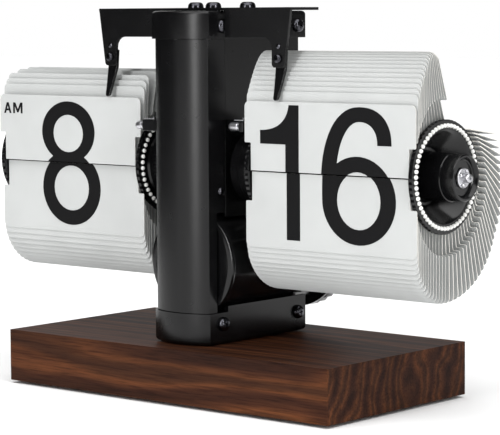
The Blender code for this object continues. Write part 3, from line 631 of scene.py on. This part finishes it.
def finger(side_name):
    low, high = span(f"{side_name}_finger")
    middle = (low.x + high.x) / 2
    flat_y = high.y - FINGER_THICKNESS / 2
    tip_y = low.y + FINGER_THICKNESS / 2
    tip = arc((0, low.z + TIP_RADIUS), TIP_RADIUS, TIP_RADIUS, -180, 0, 10)
    outline = [(-ROOT_HALF, high.z), (-BEND_HALF, BEND_Z), *tip, (BEND_HALF, BEND_Z),
               (ROOT_HALF, high.z)]
    shape = drawn_out([(middle + x, z) for x, z in outline], "Y",
                      flat_y - FINGER_THICKNESS / 2, flat_y + FINGER_THICKNESS / 2)
    for vert in shape.verts:
        lean = max(0.0, (BEND_Z - vert.co.z) / (BEND_Z - low.z))
        vert.co.y += (tip_y - flat_y) * lean
    finish_piece(f"{side_name}_spring_finger", shape, "black_plastic",
                 replaced=[f"{side_name}_finger"], edge=0.35)


for side_name in SIDES:
    finger(side_name)

# %% [markdown]
# ## Screws
# Every screw has a domed head with a real cross recess: a loop inside the head's top is pushed
# down and in, and the rim is drawn out to the dome.

# %% Heads with a recess
def recessed_head(recess, depth, taper, profile, steps=24):
    """A turned head that faces +Z, with a recess in its top. The profile lists (radius, z)."""
    shape = bmesh.new()
    top_radius, top_z = profile[0]
    made = bmesh.ops.create_circle(shape, segments=steps, radius=top_radius,
                                   matrix=Matrix.Translation((0, 0, top_z)))
    rim = list({edge for vert in made["verts"] for edge in vert.link_edges})
    hole = loop(shape, [(x, y, top_z) for x, y in recess])
    bmesh.ops.triangle_fill(shape, use_beauty=True, edges=rim + hole, normal=(0, 0, 1))
    floor = draw_edges(shape, hole)
    for vert in ends(floor):
        vert.co = Vector((vert.co.x * taper, vert.co.y * taper, top_z - depth))
    bmesh.ops.contextual_create(shape, geom=floor)
    ring, radius = rim, top_radius
    for next_radius, z in profile[1:]:
        ring = draw_edges(shape, ring)
        growth = next_radius / radius
        for vert in ends(ring):
            vert.co = Vector((vert.co.x * growth, vert.co.y * growth, z))
        radius = next_radius
    bmesh.ops.contextual_create(shape, geom=ring)
    face_outward(shape)
    return shape


def cross(arm, half_width):
    """The outline of a cross recess."""
    quarter = [(arm, -half_width), (arm, half_width), (half_width, half_width)]
    turns = [Matrix.Rotation(math.radians(90 * step), 2) for step in range(4)]
    return [tuple(turn @ Vector(point)) for turn in turns for point in quarter]


def aim(shape, centre, axis, side, turn=0.0):
    """Turn a shape that faces +Z to face along the axis, and move it to centre."""
    facing = (AXES[axis] * side).to_track_quat("Z", "Y").to_matrix().to_4x4()
    spin = Matrix.Rotation(math.radians(turn), 4, "Z")
    bmesh.ops.transform(shape, matrix=Matrix.Translation(centre) @ facing @ spin,
                        verts=shape.verts)


# %% Black screws
SCREW_TURN = 37  # degrees from one screw's cross to the next
SHANK = 1.0


def pan_screw(node, axis, side, turn):
    """A pan-head screw in the place and of the size of a CAD screw."""
    low, high = span(node)
    index = "XYZ".index(axis)
    sizes = high - low
    head = max(sizes[k] for k in range(3) if k != index) / 2
    height, length = min(head * 0.72, sizes[index] * 0.9), sizes[index]
    profile = [(head * 0.5, 0), (head * 0.72, -height * 0.08), (head * 0.88, -height * 0.28),
               (head * 0.97, -height * 0.55), (head, -height * 0.8), (head, -height),
               (SHANK, -height), (SHANK, -length)]
    shape = recessed_head(cross(head * 0.42, head * 0.10), height * 0.65, 0.55, profile)
    centre = (low + high) / 2
    centre[index] = high[index] if side > 0 else low[index]
    aim(shape, centre, axis, side, turn)
    finish_piece(f"{node}_pan_head", shape, "blackened_steel", replaced=[node])


screws = [(f"{side_name}_{level}_{end}_screw", "X", side) for side_name, side in SIDES.items()
          for level in ("lower", "upper") for end in ("front", "rear")]
screws += [(f"{side_name}_shell_screw", "X", side) for side_name, side in SIDES.items()]
screws += [(f"{side_name}_finger_screw", "Y", -1) for side_name in SIDES]
screws += [(f"top_screw_{number}", "Z", 1) for number in (1, 2, 3)]
for number, (node, axis, side) in enumerate(screws):
    pan_screw(node, axis, side, turn=SCREW_TURN * number)

# %% [markdown]
# ## Battery canister
# A moulded tube lies front to back through the column. It is closed at the front, and at the
# back it has a screw cap with finger flutes round its edge and a slot for a coin.

# %% Canister and its cap
def canister():
    low, high = span("battery_canister")
    centre = (low + high) / 2
    flange, rim, body, bore = high.x, 23.0, 22.3, 18.0
    front, back = low.y, high.y
    profile = [(front + 0.5, 0), (front + 0.5, rim - 3.2), (front, rim - 2.6), (front, rim - 0.8),
               (front + 0.25, rim - 0.25), (front + 0.8, rim), (front + 1.8, rim),
               (front + 2.3, rim - 0.3), (front + 2.5, body), (back - 2.7, body),
               (back - 2.5, body + 0.4), (back - 2.5, flange - 0.4), (back - 2.1, flange),
               (back - 0.4, flange), (back, flange - 0.4), (back, bore), (front + 2.4, bore),
               (front + 2.4, 0)]
    finish_piece("moulded_canister", turned(profile, centre, "Y", 96), "black_plastic",
                 replaced=["battery_canister"])


def canister_cap():
    low, high = span("battery_cap")
    radius, plug, depth = high.x, 17.6, 7.0
    flutes, flute_depth = 36, 0.35
    half_slot, slot_width, slot_depth = 12.0, 1.5, 2.0
    thickness = high.y - low.y
    slot = (arc((half_slot - slot_width, 0), slot_width, slot_width, -90, 90, 6)
            + arc((slot_width - half_slot, 0), slot_width, slot_width, 90, 270, 6))
    profile = [(radius - 2.2, 0), (radius - 1.2, -0.3), (radius - 0.5, -0.9), (radius, -1.8),
               (radius, 0.6 - depth), (radius - 0.5, -depth), (plug, -depth), (plug, -thickness)]
    shape = recessed_head(slot, slot_depth, 1.0, profile, steps=flutes * 4)
    for vert in shape.verts:
        across = vert.co.to_2d().length
        if across > radius - 0.6:
            angle = math.atan2(vert.co.y, vert.co.x)
            groove = flute_depth * (1 + math.cos(angle * flutes))
            vert.co.x -= math.cos(angle) * groove
            vert.co.y -= math.sin(angle) * groove
    centre = Vector(((low.x + high.x) / 2, high.y, (low.z + high.z) / 2))
    aim(shape, centre, "Y", 1)
    finish_piece("fluted_canister_cap", shape, "black_plastic", body="cap",
                 replaced=["battery_cap"])


canister()
canister_cap()

# %% [markdown]
# ## Drums
# Each drum is two moulded hubs on an axle. A hub's flange has a notch for every card, and the
# end of each card's pin shows as a white bead. The outer hub is a deep dish with a boss in
# the middle, which holds a bright screw.

# %% Sizes of the two drums
AXIS = Vector(next(joint["pos_m"] for joint in frame["joints"]
                   if joint["name"] == "minute_spin")) / MM
MINUTE = {"name": "minute", "side": 1, "pins": 20.5, "cards": 60, "rear": 17, "lower": 45,
          "seam": 98.5, "fan": (98, 152)}
HOUR = {"name": "hour", "side": -1, "pins": 19.5, "cards": 48, "rear": 13, "lower": 36,
        "seam": 97.7, "fan": (92, 155)}
SEAM = 0.55  # the dark line between the upper and the lower cards


def pin_place(angle, radius):
    """Where a pin sits across the axle. Angles are in degrees from the front, going up."""
    turn = math.radians(angle)
    return (AXIS.y - radius * math.cos(turn), AXIS.z + radius * math.sin(turn))


def reach(node, side):
    """Nearest and furthest distance of a node from the middle of the clock, along X."""
    low, high = span(node)
    return (low.x, high.x) if side > 0 else (-high.x, -low.x)


# %% Hubs
BORE, BARREL, CUP_DEPTH, FLANGE_WIDTH, NOTCH_DEPTH = 1.8, 15.5, 9.7, 1.8, 0.7


def notch_rim(shape, radius, cards):
    """Cut a small notch in the rim at every card's pin."""
    pitch = math.tau / cards
    for vert in shape.verts:
        across = vert.co.yz - AXIS.yz
        if across.length > radius - 0.05:
            angle = math.atan2(across.y, -across.x) / pitch
            if abs(angle - math.floor(angle) - 0.5) < 0.2:
                vert.co.y -= across.x * NOTCH_DEPTH / across.length
                vert.co.z -= across.y * NOTCH_DEPTH / across.length


def on_axle(drum, name, profile, steps, flange=0.0, replaced=()):
    """Turn a moulded part of a drum. Its profile lists (distance from the middle, radius)."""
    shape = turned([(drum["side"] * x, radius) for x, radius in profile], AXIS, "X", steps)
    if flange:
        notch_rim(shape, flange, drum["cards"])
    finish_piece(f"{drum['name']}_{name}", shape, "black_plastic",
                 body=f"{drum['name']}_drum", replaced=replaced)


def build_hubs(drum):
    name, side, steps = drum["name"], drum["side"], drum["cards"] * 4
    near, far = reach(f"{name}_inner_hub", side)
    low, high = span(f"{name}_inner_hub")
    flange = (high.z - low.z) / 2
    face = far - FLANGE_WIDTH
    profile = [(near, BORE), (near, BARREL - 0.5), (near + 0.5, BARREL), (near + 4.4, BARREL),
               (near + 4.6, BARREL - 0.3), (near + 5.0, BARREL - 0.3), (near + 5.2, BARREL),
               (face - 0.8, BARREL), (face, BARREL + 0.7), (face, flange - 0.2),
               (face + 0.2, flange), (far - 0.2, flange), (far, flange - 0.2), (far, BORE)]
    on_axle(drum, "barrel_hub", profile, steps, flange, [f"{name}_inner_hub"])

    near, far = reach(f"{name}_outer_hub", side)
    back = near + CUP_DEPTH
    face, dish, boss = back + FLANGE_WIDTH, drum["pins"] - 1.9, 9.3
    floor_x, deep = far - 2.0, near + 1.7
    profile = [(near, BORE), (floor_x, BORE), (floor_x, 7.0), (floor_x + 0.3, 7.4),
               (far - 0.4, 7.9), (far, 8.3), (far, boss - 0.35), (far - 0.35, boss),
               (far - 6.0, boss + 0.15), (far - 6.3, boss + 0.45), (deep + 0.8, boss + 0.6),
               (deep, boss + 1.3), (deep, 11.6), (deep + 0.5, 12.1), (face - 1.1, dish - 0.8),
               (face - 0.3, dish - 0.1), (face, dish + 0.3), (face, flange - 0.2),
               (face - 0.2, flange), (back + 0.2, flange), (back, flange - 0.2),
               (back, dish + 0.3), (near, 12.6)]
    on_axle(drum, "dished_hub", profile, steps, flange, [f"{name}_outer_hub"])


def build_core(drum):
    """The tube between the hubs. It keeps the inside of the roll dark."""
    name, side, inner, outer = drum["name"], drum["side"], 9.0, 12.0
    start = reach(f"{name}_inner_hub", side)[1] + 0.1
    end = reach(f"{name}_outer_hub", side)[0] - 0.1
    on_axle(drum, "core_tube", [(start, inner), (start, outer), (end, outer), (end, inner)], 48)


for drum in (MINUTE, HOUR):
    build_hubs(drum)
    build_core(drum)


# %% Beads: the ends of the card pins
BEAD_RADIUS = 0.95


def build_beads(drum, node, outward):
    near, far = reach(node, drum["side"])
    x = drum["side"] * ((far if outward > 0 else near) - outward * BEAD_RADIUS)
    shape = bmesh.new()
    for number in range(drum["cards"]):
        y, z = pin_place(360 / drum["cards"] * (number + 0.5), drum["pins"])
        bmesh.ops.create_uvsphere(shape, u_segments=10, v_segments=6, radius=BEAD_RADIUS,
                                  matrix=Matrix.Translation((x, y, z))
                                  @ Matrix.Rotation(math.radians(90), 4, "Y"))
    finish_piece(node.replace("pins", "beads"), shape, "pin_nylon", replaced=[node],
                 body=f"{drum['name']}_drum")


for drum in (MINUTE, HOUR):
    build_beads(drum, f"{drum['name']}_inner_pins", -1)
    build_beads(drum, f"{drum['name']}_outer_pins", 1)


# %% Bright hub screws
def hub_screw(drum):
    """A small screw through a washer with four round studs."""
    name, side = drum["name"], drum["side"]
    low, high = span(f"{name}_hub_screw")
    length = high.x - low.x
    head, washer, thick = 1.8, (high.z - low.z) / 2, 0.9
    stud, stud_ring = 0.95, 2.95
    profile = [(head * 0.55, 0), (head * 0.80, -0.12), (head * 0.95, -0.45), (head, -1.0),
               (head, -length + thick), (washer - 0.3, -length + thick),
               (washer, -length + thick - 0.3), (washer, -length)]
    screw = recessed_head(cross(head * 0.45, head * 0.13), 0.9, 0.5, profile, steps=32)
    studs = bmesh.new()
    for turn in range(4):
        angle = math.radians(45 + 90 * turn)
        spot = (stud_ring * math.cos(angle), stud_ring * math.sin(angle), -length + thick + 0.1)
        bmesh.ops.create_uvsphere(studs, u_segments=16, v_segments=10, radius=stud,
                                  matrix=Matrix.Translation(spot))
    shape = merged([screw, studs])
    tip = Vector((high.x if side > 0 else low.x, AXIS.y, AXIS.z))
    aim(shape, tip, "X", side, turn=20)
    finish_piece(f"{name}_cross_screw", shape, "steel", body=f"{name}_drum",
                 replaced=[f"{name}_hub_screw"])


for drum in (MINUTE, HOUR):
    hub_screw(drum)

# %% [markdown]
# ## Cards
# A blank has rounded corners at its free end and a notch at each side, beside the flanges.
# Each card of a roll is one, turned about its pins. In front the cards stand or hang close
# together, and behind they fan out like the pages of a book.

# %% The blank
roll_near, roll_far = reach("minute_front_card", 1)
NECK, SHOULDER = 3.3, 11.0  # width and height of the notches
CARD_LENGTH, CARD_THICKNESS = 30.2, 0.2
REAR_THICKNESS = 0.4  # the fanned cards, drawn thicker so that their edges show
CORNER, SMALL_CORNER = 2.4, 0.5


def blank(side, low, high, thickness):
    """A card that stands on its pins at the origin: X across, Z along, with its notches."""
    inner, outer = roll_near + NECK, roll_far - NECK
    outline = [(inner, low), (outer, low), (outer, SHOULDER), (roll_far, SHOULDER),
               (roll_far, high), (roll_near, high), (roll_near, SHOULDER), (inner, SHOULDER)]
    shape = bmesh.new()
    corners = [shape.verts.new((side * x, -thickness / 2, z)) for x, z in outline]
    shape.faces.new(corners)
    for group, radius, segments in ((corners[4:6], CORNER, 8),
                                    (corners[2:4] + corners[6:], SMALL_CORNER, 2)):
        bmesh.ops.bevel(shape, geom=group, offset=radius, segments=segments, profile=0.5,
                        material=-1, affect="VERTICES", clamp_overlap=True)
    thicken(shape, (0, thickness, 0))
    # edge faces take the second material: creamy, with a painted highlight
    for face in shape.faces:
        face.material_index = 0 if abs(face.normal.y) > 0.9 else 1
    return shape


def stand(shape, root, tilt):
    """Set a blank on its pins at root, tilted: 0 is up, 90 is to the back and 180 is down."""
    turn = Matrix.Rotation(-math.radians(tilt), 4, "X")
    shift = Matrix.Translation((0, root[0], root[1]))
    bmesh.ops.transform(shape, matrix=shift @ turn, verts=shape.verts)
    return shape


# %% How the cards lie
UPRIGHT_GAP, HANGING_GAP = 0.85, 0.45  # between the free edges of neighbouring cards


def blend(value, low, high, start, end):
    share = min(max((value - low) / (high - low), 0), 1)
    return start + (end - start) * share


def upright(angles, pins):
    """Cards that stand at the front with their free edges evenly apart."""
    front = pin_place(0, pins)[0]
    return [math.degrees(math.asin((front + number * UPRIGHT_GAP - pin_place(angle, pins)[0])
                                   / CARD_LENGTH))
            for number, angle in enumerate(angles, start=1)]


def hanging(angles, pins):
    """Cards that hang at the front, plumb unless the card in front is in the way."""
    tilts, tip = [], None
    for angle in reversed(angles):
        root = pin_place(angle, pins)[0]
        tip = root if tip is None else max(root, tip + HANGING_GAP)
        tilts.append(180 - math.degrees(math.asin((tip - root) / CARD_LENGTH)))
    return tilts[::-1]


def rear(angles, first, side_tilt):
    """Cards behind the drum: fanned out, then hanging."""
    return [blend(angle, angles[0], 180, first, side_tilt) if angle < 180
            else blend(angle, 180, 270, side_tilt, 180) for angle in angles]


def lay_out(drum):
    """The pin angles and the tilts of one roll's upper, rear and lower cards."""
    step, pins = 360 / drum["cards"], drum["pins"]
    angles = [step * (number + 0.5) for number in range(drum["cards"])]
    groups = {"upper": angles[1:drum["rear"]], "rear": angles[drum["rear"]:drum["lower"]],
              "lower": angles[drum["lower"]:]}
    tilts = {"lower": hanging(groups["lower"], pins), "rear": rear(groups["rear"], *drum["fan"])}
    if drum is MINUTE:
        tilts["upper"] = upright(groups["upper"], pins)
    else:
        tilts["upper"] = [1.2 * number if angle < 30 else blend(angle, 33, 100, 11, 88)
                          for number, angle in enumerate(groups["upper"], start=1)]
    return groups, tilts


# %% Build the rolls
HEEL = 0.7  # how far a card reaches past its pins


def build_roll(drum):
    name, side, pins = drum["name"], drum["side"], drum["pins"]
    groups, tilts = lay_out(drum)
    for group, angles in groups.items():
        thickness = REAR_THICKNESS if group == "rear" else CARD_THICKNESS
        cards = []
        for angle, tilt in zip(angles, tilts[group]):
            root = pin_place(angle, pins)
            front_most = group == "lower" and angle == angles[-1]
            heel = drum["seam"] - SEAM / 2 - root[1] if front_most else HEEL
            cards.append(stand(blank(side, -heel, CARD_LENGTH, thickness), root, tilt))
        finish_piece(f"{name}_{group}_card_fan", merged(cards), "card_white",
                     replaced=[f"{name}_{group}_cards"], extra=[CARD_EDGE_TINT_AND_HIGHLIGHT])

    low, high = span(f"{name}_front_card")
    pivot = (low.y + high.y) / 2, PIVOT[name].z
    bottom = drum["seam"] + SEAM / 2 - pivot[1]
    card = blank(side, bottom, high.z - pivot[1], high.y - low.y)
    finish_piece(f"{name}_falling_card", stand(card, pivot, 0), "card_white",
                 body=f"{name}_card", replaced=[f"{name}_front_card"], extra=[CARD_EDGE_TINT_AND_HIGHLIGHT])
    return groups, tilts


PIVOT = {joint["name"].split("_")[0]: Vector(joint["pos_m"]) / MM
         for joint in frame["joints"] if joint["name"].endswith("card_fall")}
LAYOUT = {drum["name"]: build_roll(drum) for drum in (MINUTE, HOUR)}

# %% [markdown]
# ## Numerals
# Each numeral is a flat outline with its counters as holes. A number is cut at the seam: its
# upper half is printed on one card and its lower half on the back of the card before it, so
# a falling card changes the whole number.

# %% Outlines of the numerals
TOP, FOOT_LINE = 27.6, -27.7  # from the seam, in millimetres


def curve(start, control, end, steps):
    """Points on a quadratic curve, both ends included."""
    points = []
    for step in range(steps + 1):
        share = step / steps
        points.append(tuple(a * (1 - share) ** 2 + 2 * b * share * (1 - share) + c * share ** 2
                            for a, b, c in zip(start, control, end)))
    return points


def one():
    flag = curve((0, 17.1), (13.6, 17.3), (15.2, TOP), 10)
    return [[(0, 11.5), *flag, (20.4, TOP), (20.4, FOOT_LINE), (13.4, FOOT_LINE), (13.4, 11.5)]]


def six():
    sweep = (arc((1.2, -4), 19.7, 31.6, 180, 90, 14, 2.2)
             + arc((1.2, 12.5), 15.7, 15.1, 90, 0, 12, 2.3)[1:]
             + arc((0.8, 12.5), 9.1, 9.2, 0, 90, 10, 2.3)
             + arc((0.8, -1), 11.6, 22.7, 90, 165, 10)[1:])
    bowl = arc((0, -9.9), 18.5, 17.8, 124, -180, 40)
    counter = arc((0, -9.9), 10.9, 11.6, 0, 360, 32)[:-1]
    return [sweep + bowl, counter]


def seven():
    right = curve((33, 21.2), (18.5, 2.0), (14.8, FOOT_LINE), 10)
    left = curve((6.6, FOOT_LINE), (10.5, 1.0), (24.6, 20.2), 10)
    return [[(0, TOP), (33, TOP), *right, *left, (0, 20.2)]]


def eight():
    outline = (arc((0, 13.7), 16.4, 13.6, -54, 234, 36)
               + arc((0, -11.3), 18, 16.6, 122.4, 417.6, 40))
    return [outline, arc((0, 13.0), 9.2, 8.3, 0, 360, 28)[:-1],
            arc((0, -11.35), 10.75, 10.05, 0, 360, 30)[:-1]]


def nine():
    return [[(-x, -z) for x, z in points] for points in six()]


LETTER_A = [[(0, 0), (1.75, 4.9), (3.05, 4.9), (4.8, 0), (3.6, 0), (3.2, 1.15), (1.6, 1.15),
             (1.2, 0)], [(1.9, 2.05), (2.9, 2.05), (2.4, 3.5)]]
LETTER_M = [[(0, 0), (0, 4.9), (1.45, 4.9), (3.05, 1.9), (4.65, 4.9), (6.1, 4.9), (6.1, 0),
             (4.95, 0), (4.95, 3.1), (3.5, 0.4), (2.6, 0.4), (1.15, 3.1), (1.15, 0)]]


# %% Where each numeral stands
def shifted(loops, x, z=0.0):
    return [[(a + x, b + z) for a, b in points] for points in loops]


MORNING = [shifted(LETTER_A, -114.4, 21.2), shifted(LETTER_M, -108.5, 21.2)]
NUMBERS = {
    "16": [shifted(one(), 37.9), shifted(six(), 88.3)],
    "17": [shifted(one(), 37.9), shifted(seven(), 71.0)],
    "8": [shifted(eight(), -73.5), *MORNING],
    "9": [shifted(nine(), -73.5), *MORNING],
}
INK_GAP, INK_THICKNESS, INK_MARGIN = 0.02, 0.05, 0.3


def print_half(number, upper, cut=SEAM / 2):
    """The ink of half a number, from cut outwards, on Y = 0 with the seam at Z = 0."""
    shape = bmesh.new()
    for loops in NUMBERS[number]:
        edges = [edge for points in loops
                 for edge in loop(shape, [(x, 0, z) for x, z in points])]
        bmesh.ops.triangle_fill(shape, use_beauty=True, edges=edges, normal=(0, -1, 0))
    side = 1 if upper else -1
    cut_at(shape, (0, 0, side * cut), (0, 0, -side), clear_outer=True)
    thicken(shape, (0, -INK_THICKNESS, 0))
    move(shape, 0, -INK_GAP, 0)
    return shape


# %% Print the numbers
def print_roll(drum, number, following):
    """Print the number that shows and, on the faces that a fall uncovers, the next one."""
    name, seam, pins = drum["name"], drum["seam"], drum["pins"]
    groups, tilts = LAYOUT[name]
    pivot = PIVOT[name]
    low, high = span(f"{name}_front_card")

    def ink(half, shape, body="frame"):
        finish_piece(f"{name}_{half}_print", shape, None, body=body, extra=[INK])

    shape = print_half(number, upper=True)
    move(shape, 0, low.y, seam)
    ink("upper", shape, f"{name}_card")

    shape = print_half(number, upper=False)
    move(shape, 0, pin_place(groups["lower"][-1], pins)[0] - CARD_THICKNESS / 2, seam)
    ink("lower", shape)

    root = pin_place(groups["upper"][0], pins)
    shape = print_half(following, upper=True, cut=root[1] - HEEL - seam)
    move(shape, 0, -CARD_THICKNESS / 2, seam - root[1])
    ink("next_upper", stand(shape, root, tilts["upper"][0]))

    shape = print_half(following, upper=False)
    fits = high.z - pivot.z - (pivot.z - seam) - INK_MARGIN
    bmesh.ops.scale(shape, verts=shape.verts, vec=(1, 1, min(1, -fits / FOOT_LINE)))
    move(shape, 0, low.y - pivot.y, seam - pivot.z)
    ink("next_lower", stand(shape, pivot.yz, 180), f"{name}_card")


print_roll(MINUTE, "16", "17")
print_roll(HOUR, "8", "9")

# %% [markdown]
# ## Card guides
# Beside the inner edge of each roll a round-ended steel pin and a thin bright leaf sit on a
# small black block.

# %% Guide pins, blocks and leaves
def guide_pin(name):
    low, high = span(f"{name}_guide_pin")
    radius = (high.z - low.z) / 2
    centre = (low + high) / 2
    dome = arc((low.x + radius, 0), radius, radius, 180, 90, 6)
    collar = [(high.x - 1.3, radius), (high.x - 1.1, radius - 0.25), (high.x - 0.8, radius - 0.25),
              (high.x - 0.6, radius), (high.x, radius), (high.x, 0)]
    finish_piece(f"{name}_round_ended_pin", turned(dome + collar, centre, "X", 32), "steel",
                 replaced=[f"{name}_guide_pin"])


def guide_block(name, outline, z_low, z_high):
    finish_piece(f"{name}_guide_block", drawn_out(outline, "Z", z_low, z_high), "black_plastic",
                 replaced=[f"{name}_guide_arm"], edge=0.35)


def leaf(name, low, high):
    """A thin steel leaf with its end turned up."""
    outline = [(low.x, low.z), (high.x, low.z), (high.x, high.z), (high.x - 0.3, high.z),
               (high.x - 0.3, low.z + 0.3), (low.x, low.z + 0.3)]
    finish_piece(f"{name}_guide_leaf", drawn_out(outline, "Y", low.y, high.y), "steel")


low, high = span("minute_guide_arm")
wall_y, post_x = -19.3, span("minute_guide_pin")[1].x + 0.3
guide_block("minute", [(low.x, wall_y), (low.x, high.y), (high.x, high.y), (high.x, low.y),
                       (post_x, low.y), (post_x, wall_y)], low.z, high.z)
leaf("minute", Vector((high.x - 5.2, low.y + 0.5, high.z + 0.3)),
     Vector((high.x - 0.2, low.y + 3.2, high.z + 1.5)))
low, high = span("hour_guide_arm")
guide_block("hour", [(low.x, low.y), (high.x, low.y), (high.x, high.y), (low.x, high.y)],
            low.z, high.z)
leaf("hour", Vector((low.x + 0.3, low.y + 0.5, high.z + 0.3)),
     Vector((low.x + 6.3, low.y + 2.8, high.z + 1.2)))
for name in ("minute", "hour"):
    guide_pin(name)

# %% [markdown]
# ## Studio
# The tall lamp in front draws the soft band down the column, and the low one behind puts a
# sheen on the foot. The ceiling lights the floor evenly and gives each card its thin shadow,
# and the strip on the right catches the edges.

# %% Floor, and a black card on the left that only reflections show
def panel(name, finish, dark, light, roughness, grain, size, placed=Matrix()):
    """A matt square. Its grain is in millimetres, and size is half its width in metres."""
    material, tree, shader, where = new_material(finish)
    paint(tree, shader, noise(tree, where, grain), dark, light)
    shader.inputs["Roughness"].default_value = roughness
    shape = bmesh.new()
    bmesh.ops.create_grid(shape, x_segments=1, y_segments=1, size=size, matrix=placed)
    made = new_object(name, as_mesh(name, shape))
    made.data.materials.append(material)
    return made


panel("studio_floor", "matt_white_floor", "#fafafa", "#fdfdfd", 0.9, 400.0, 6.0)
card = panel("black_card", "black_flock_card", "#020202", "#060606", 1.0, 2.0, 0.5,
             Matrix.Translation((-0.6, -0.25, 0.5)) @ Matrix.Rotation(math.radians(90), 4, "Y"))
card.visible_camera = card.visible_diffuse = card.visible_shadow = False

# %% Lamps and room
MIDDLE = Vector((0.0, 0.0, 0.09))


def soft_lamp(name, spot, width, height, power):
    data = bpy.data.lights.new(name, "AREA")
    data.shape = "RECTANGLE"
    data.size = width
    data.size_y = height
    data.energy = power
    lamp = new_object(name, data)
    lamp.location = spot
    lamp.rotation_mode = "QUATERNION"
    lamp.rotation_quaternion = (MIDDLE - Vector(spot)).to_track_quat("-Z", "Y")
    lamp.visible_camera = False


soft_lamp("tall_lamp_front", (0.0, -1.5, 0.42), 0.24, 1.3, 11)
soft_lamp("low_lamp_behind", (-1.29, 1.52, 0.4), 2.4, 0.8, 7)
soft_lamp("strip_lamp_right", (1.45, -0.4, 0.5), 0.12, 1.2, 10)

ceiling = bpy.data.lights.new("white_ceiling", "SUN")
ceiling.energy = 3.4
ceiling.angle = math.radians(80)
overhead = new_object("white_ceiling", ceiling)
overhead.rotation_euler = (math.radians(12), math.radians(8), 0)

room = bpy.data.worlds.new("white_room")
room.use_nodes = True
sky = room.node_tree
seen = add(sky, "ShaderNodeLightPath").outputs["Is Camera Ray"]
level = ramp(sky, seen, (0.0, "#444444"), (1.0, "#ffffff"))
sky.links.new(level, sky.nodes["Background"].inputs["Color"])
bpy.context.scene.world = room
bpy.context.scene.view_settings.view_transform = "Standard"
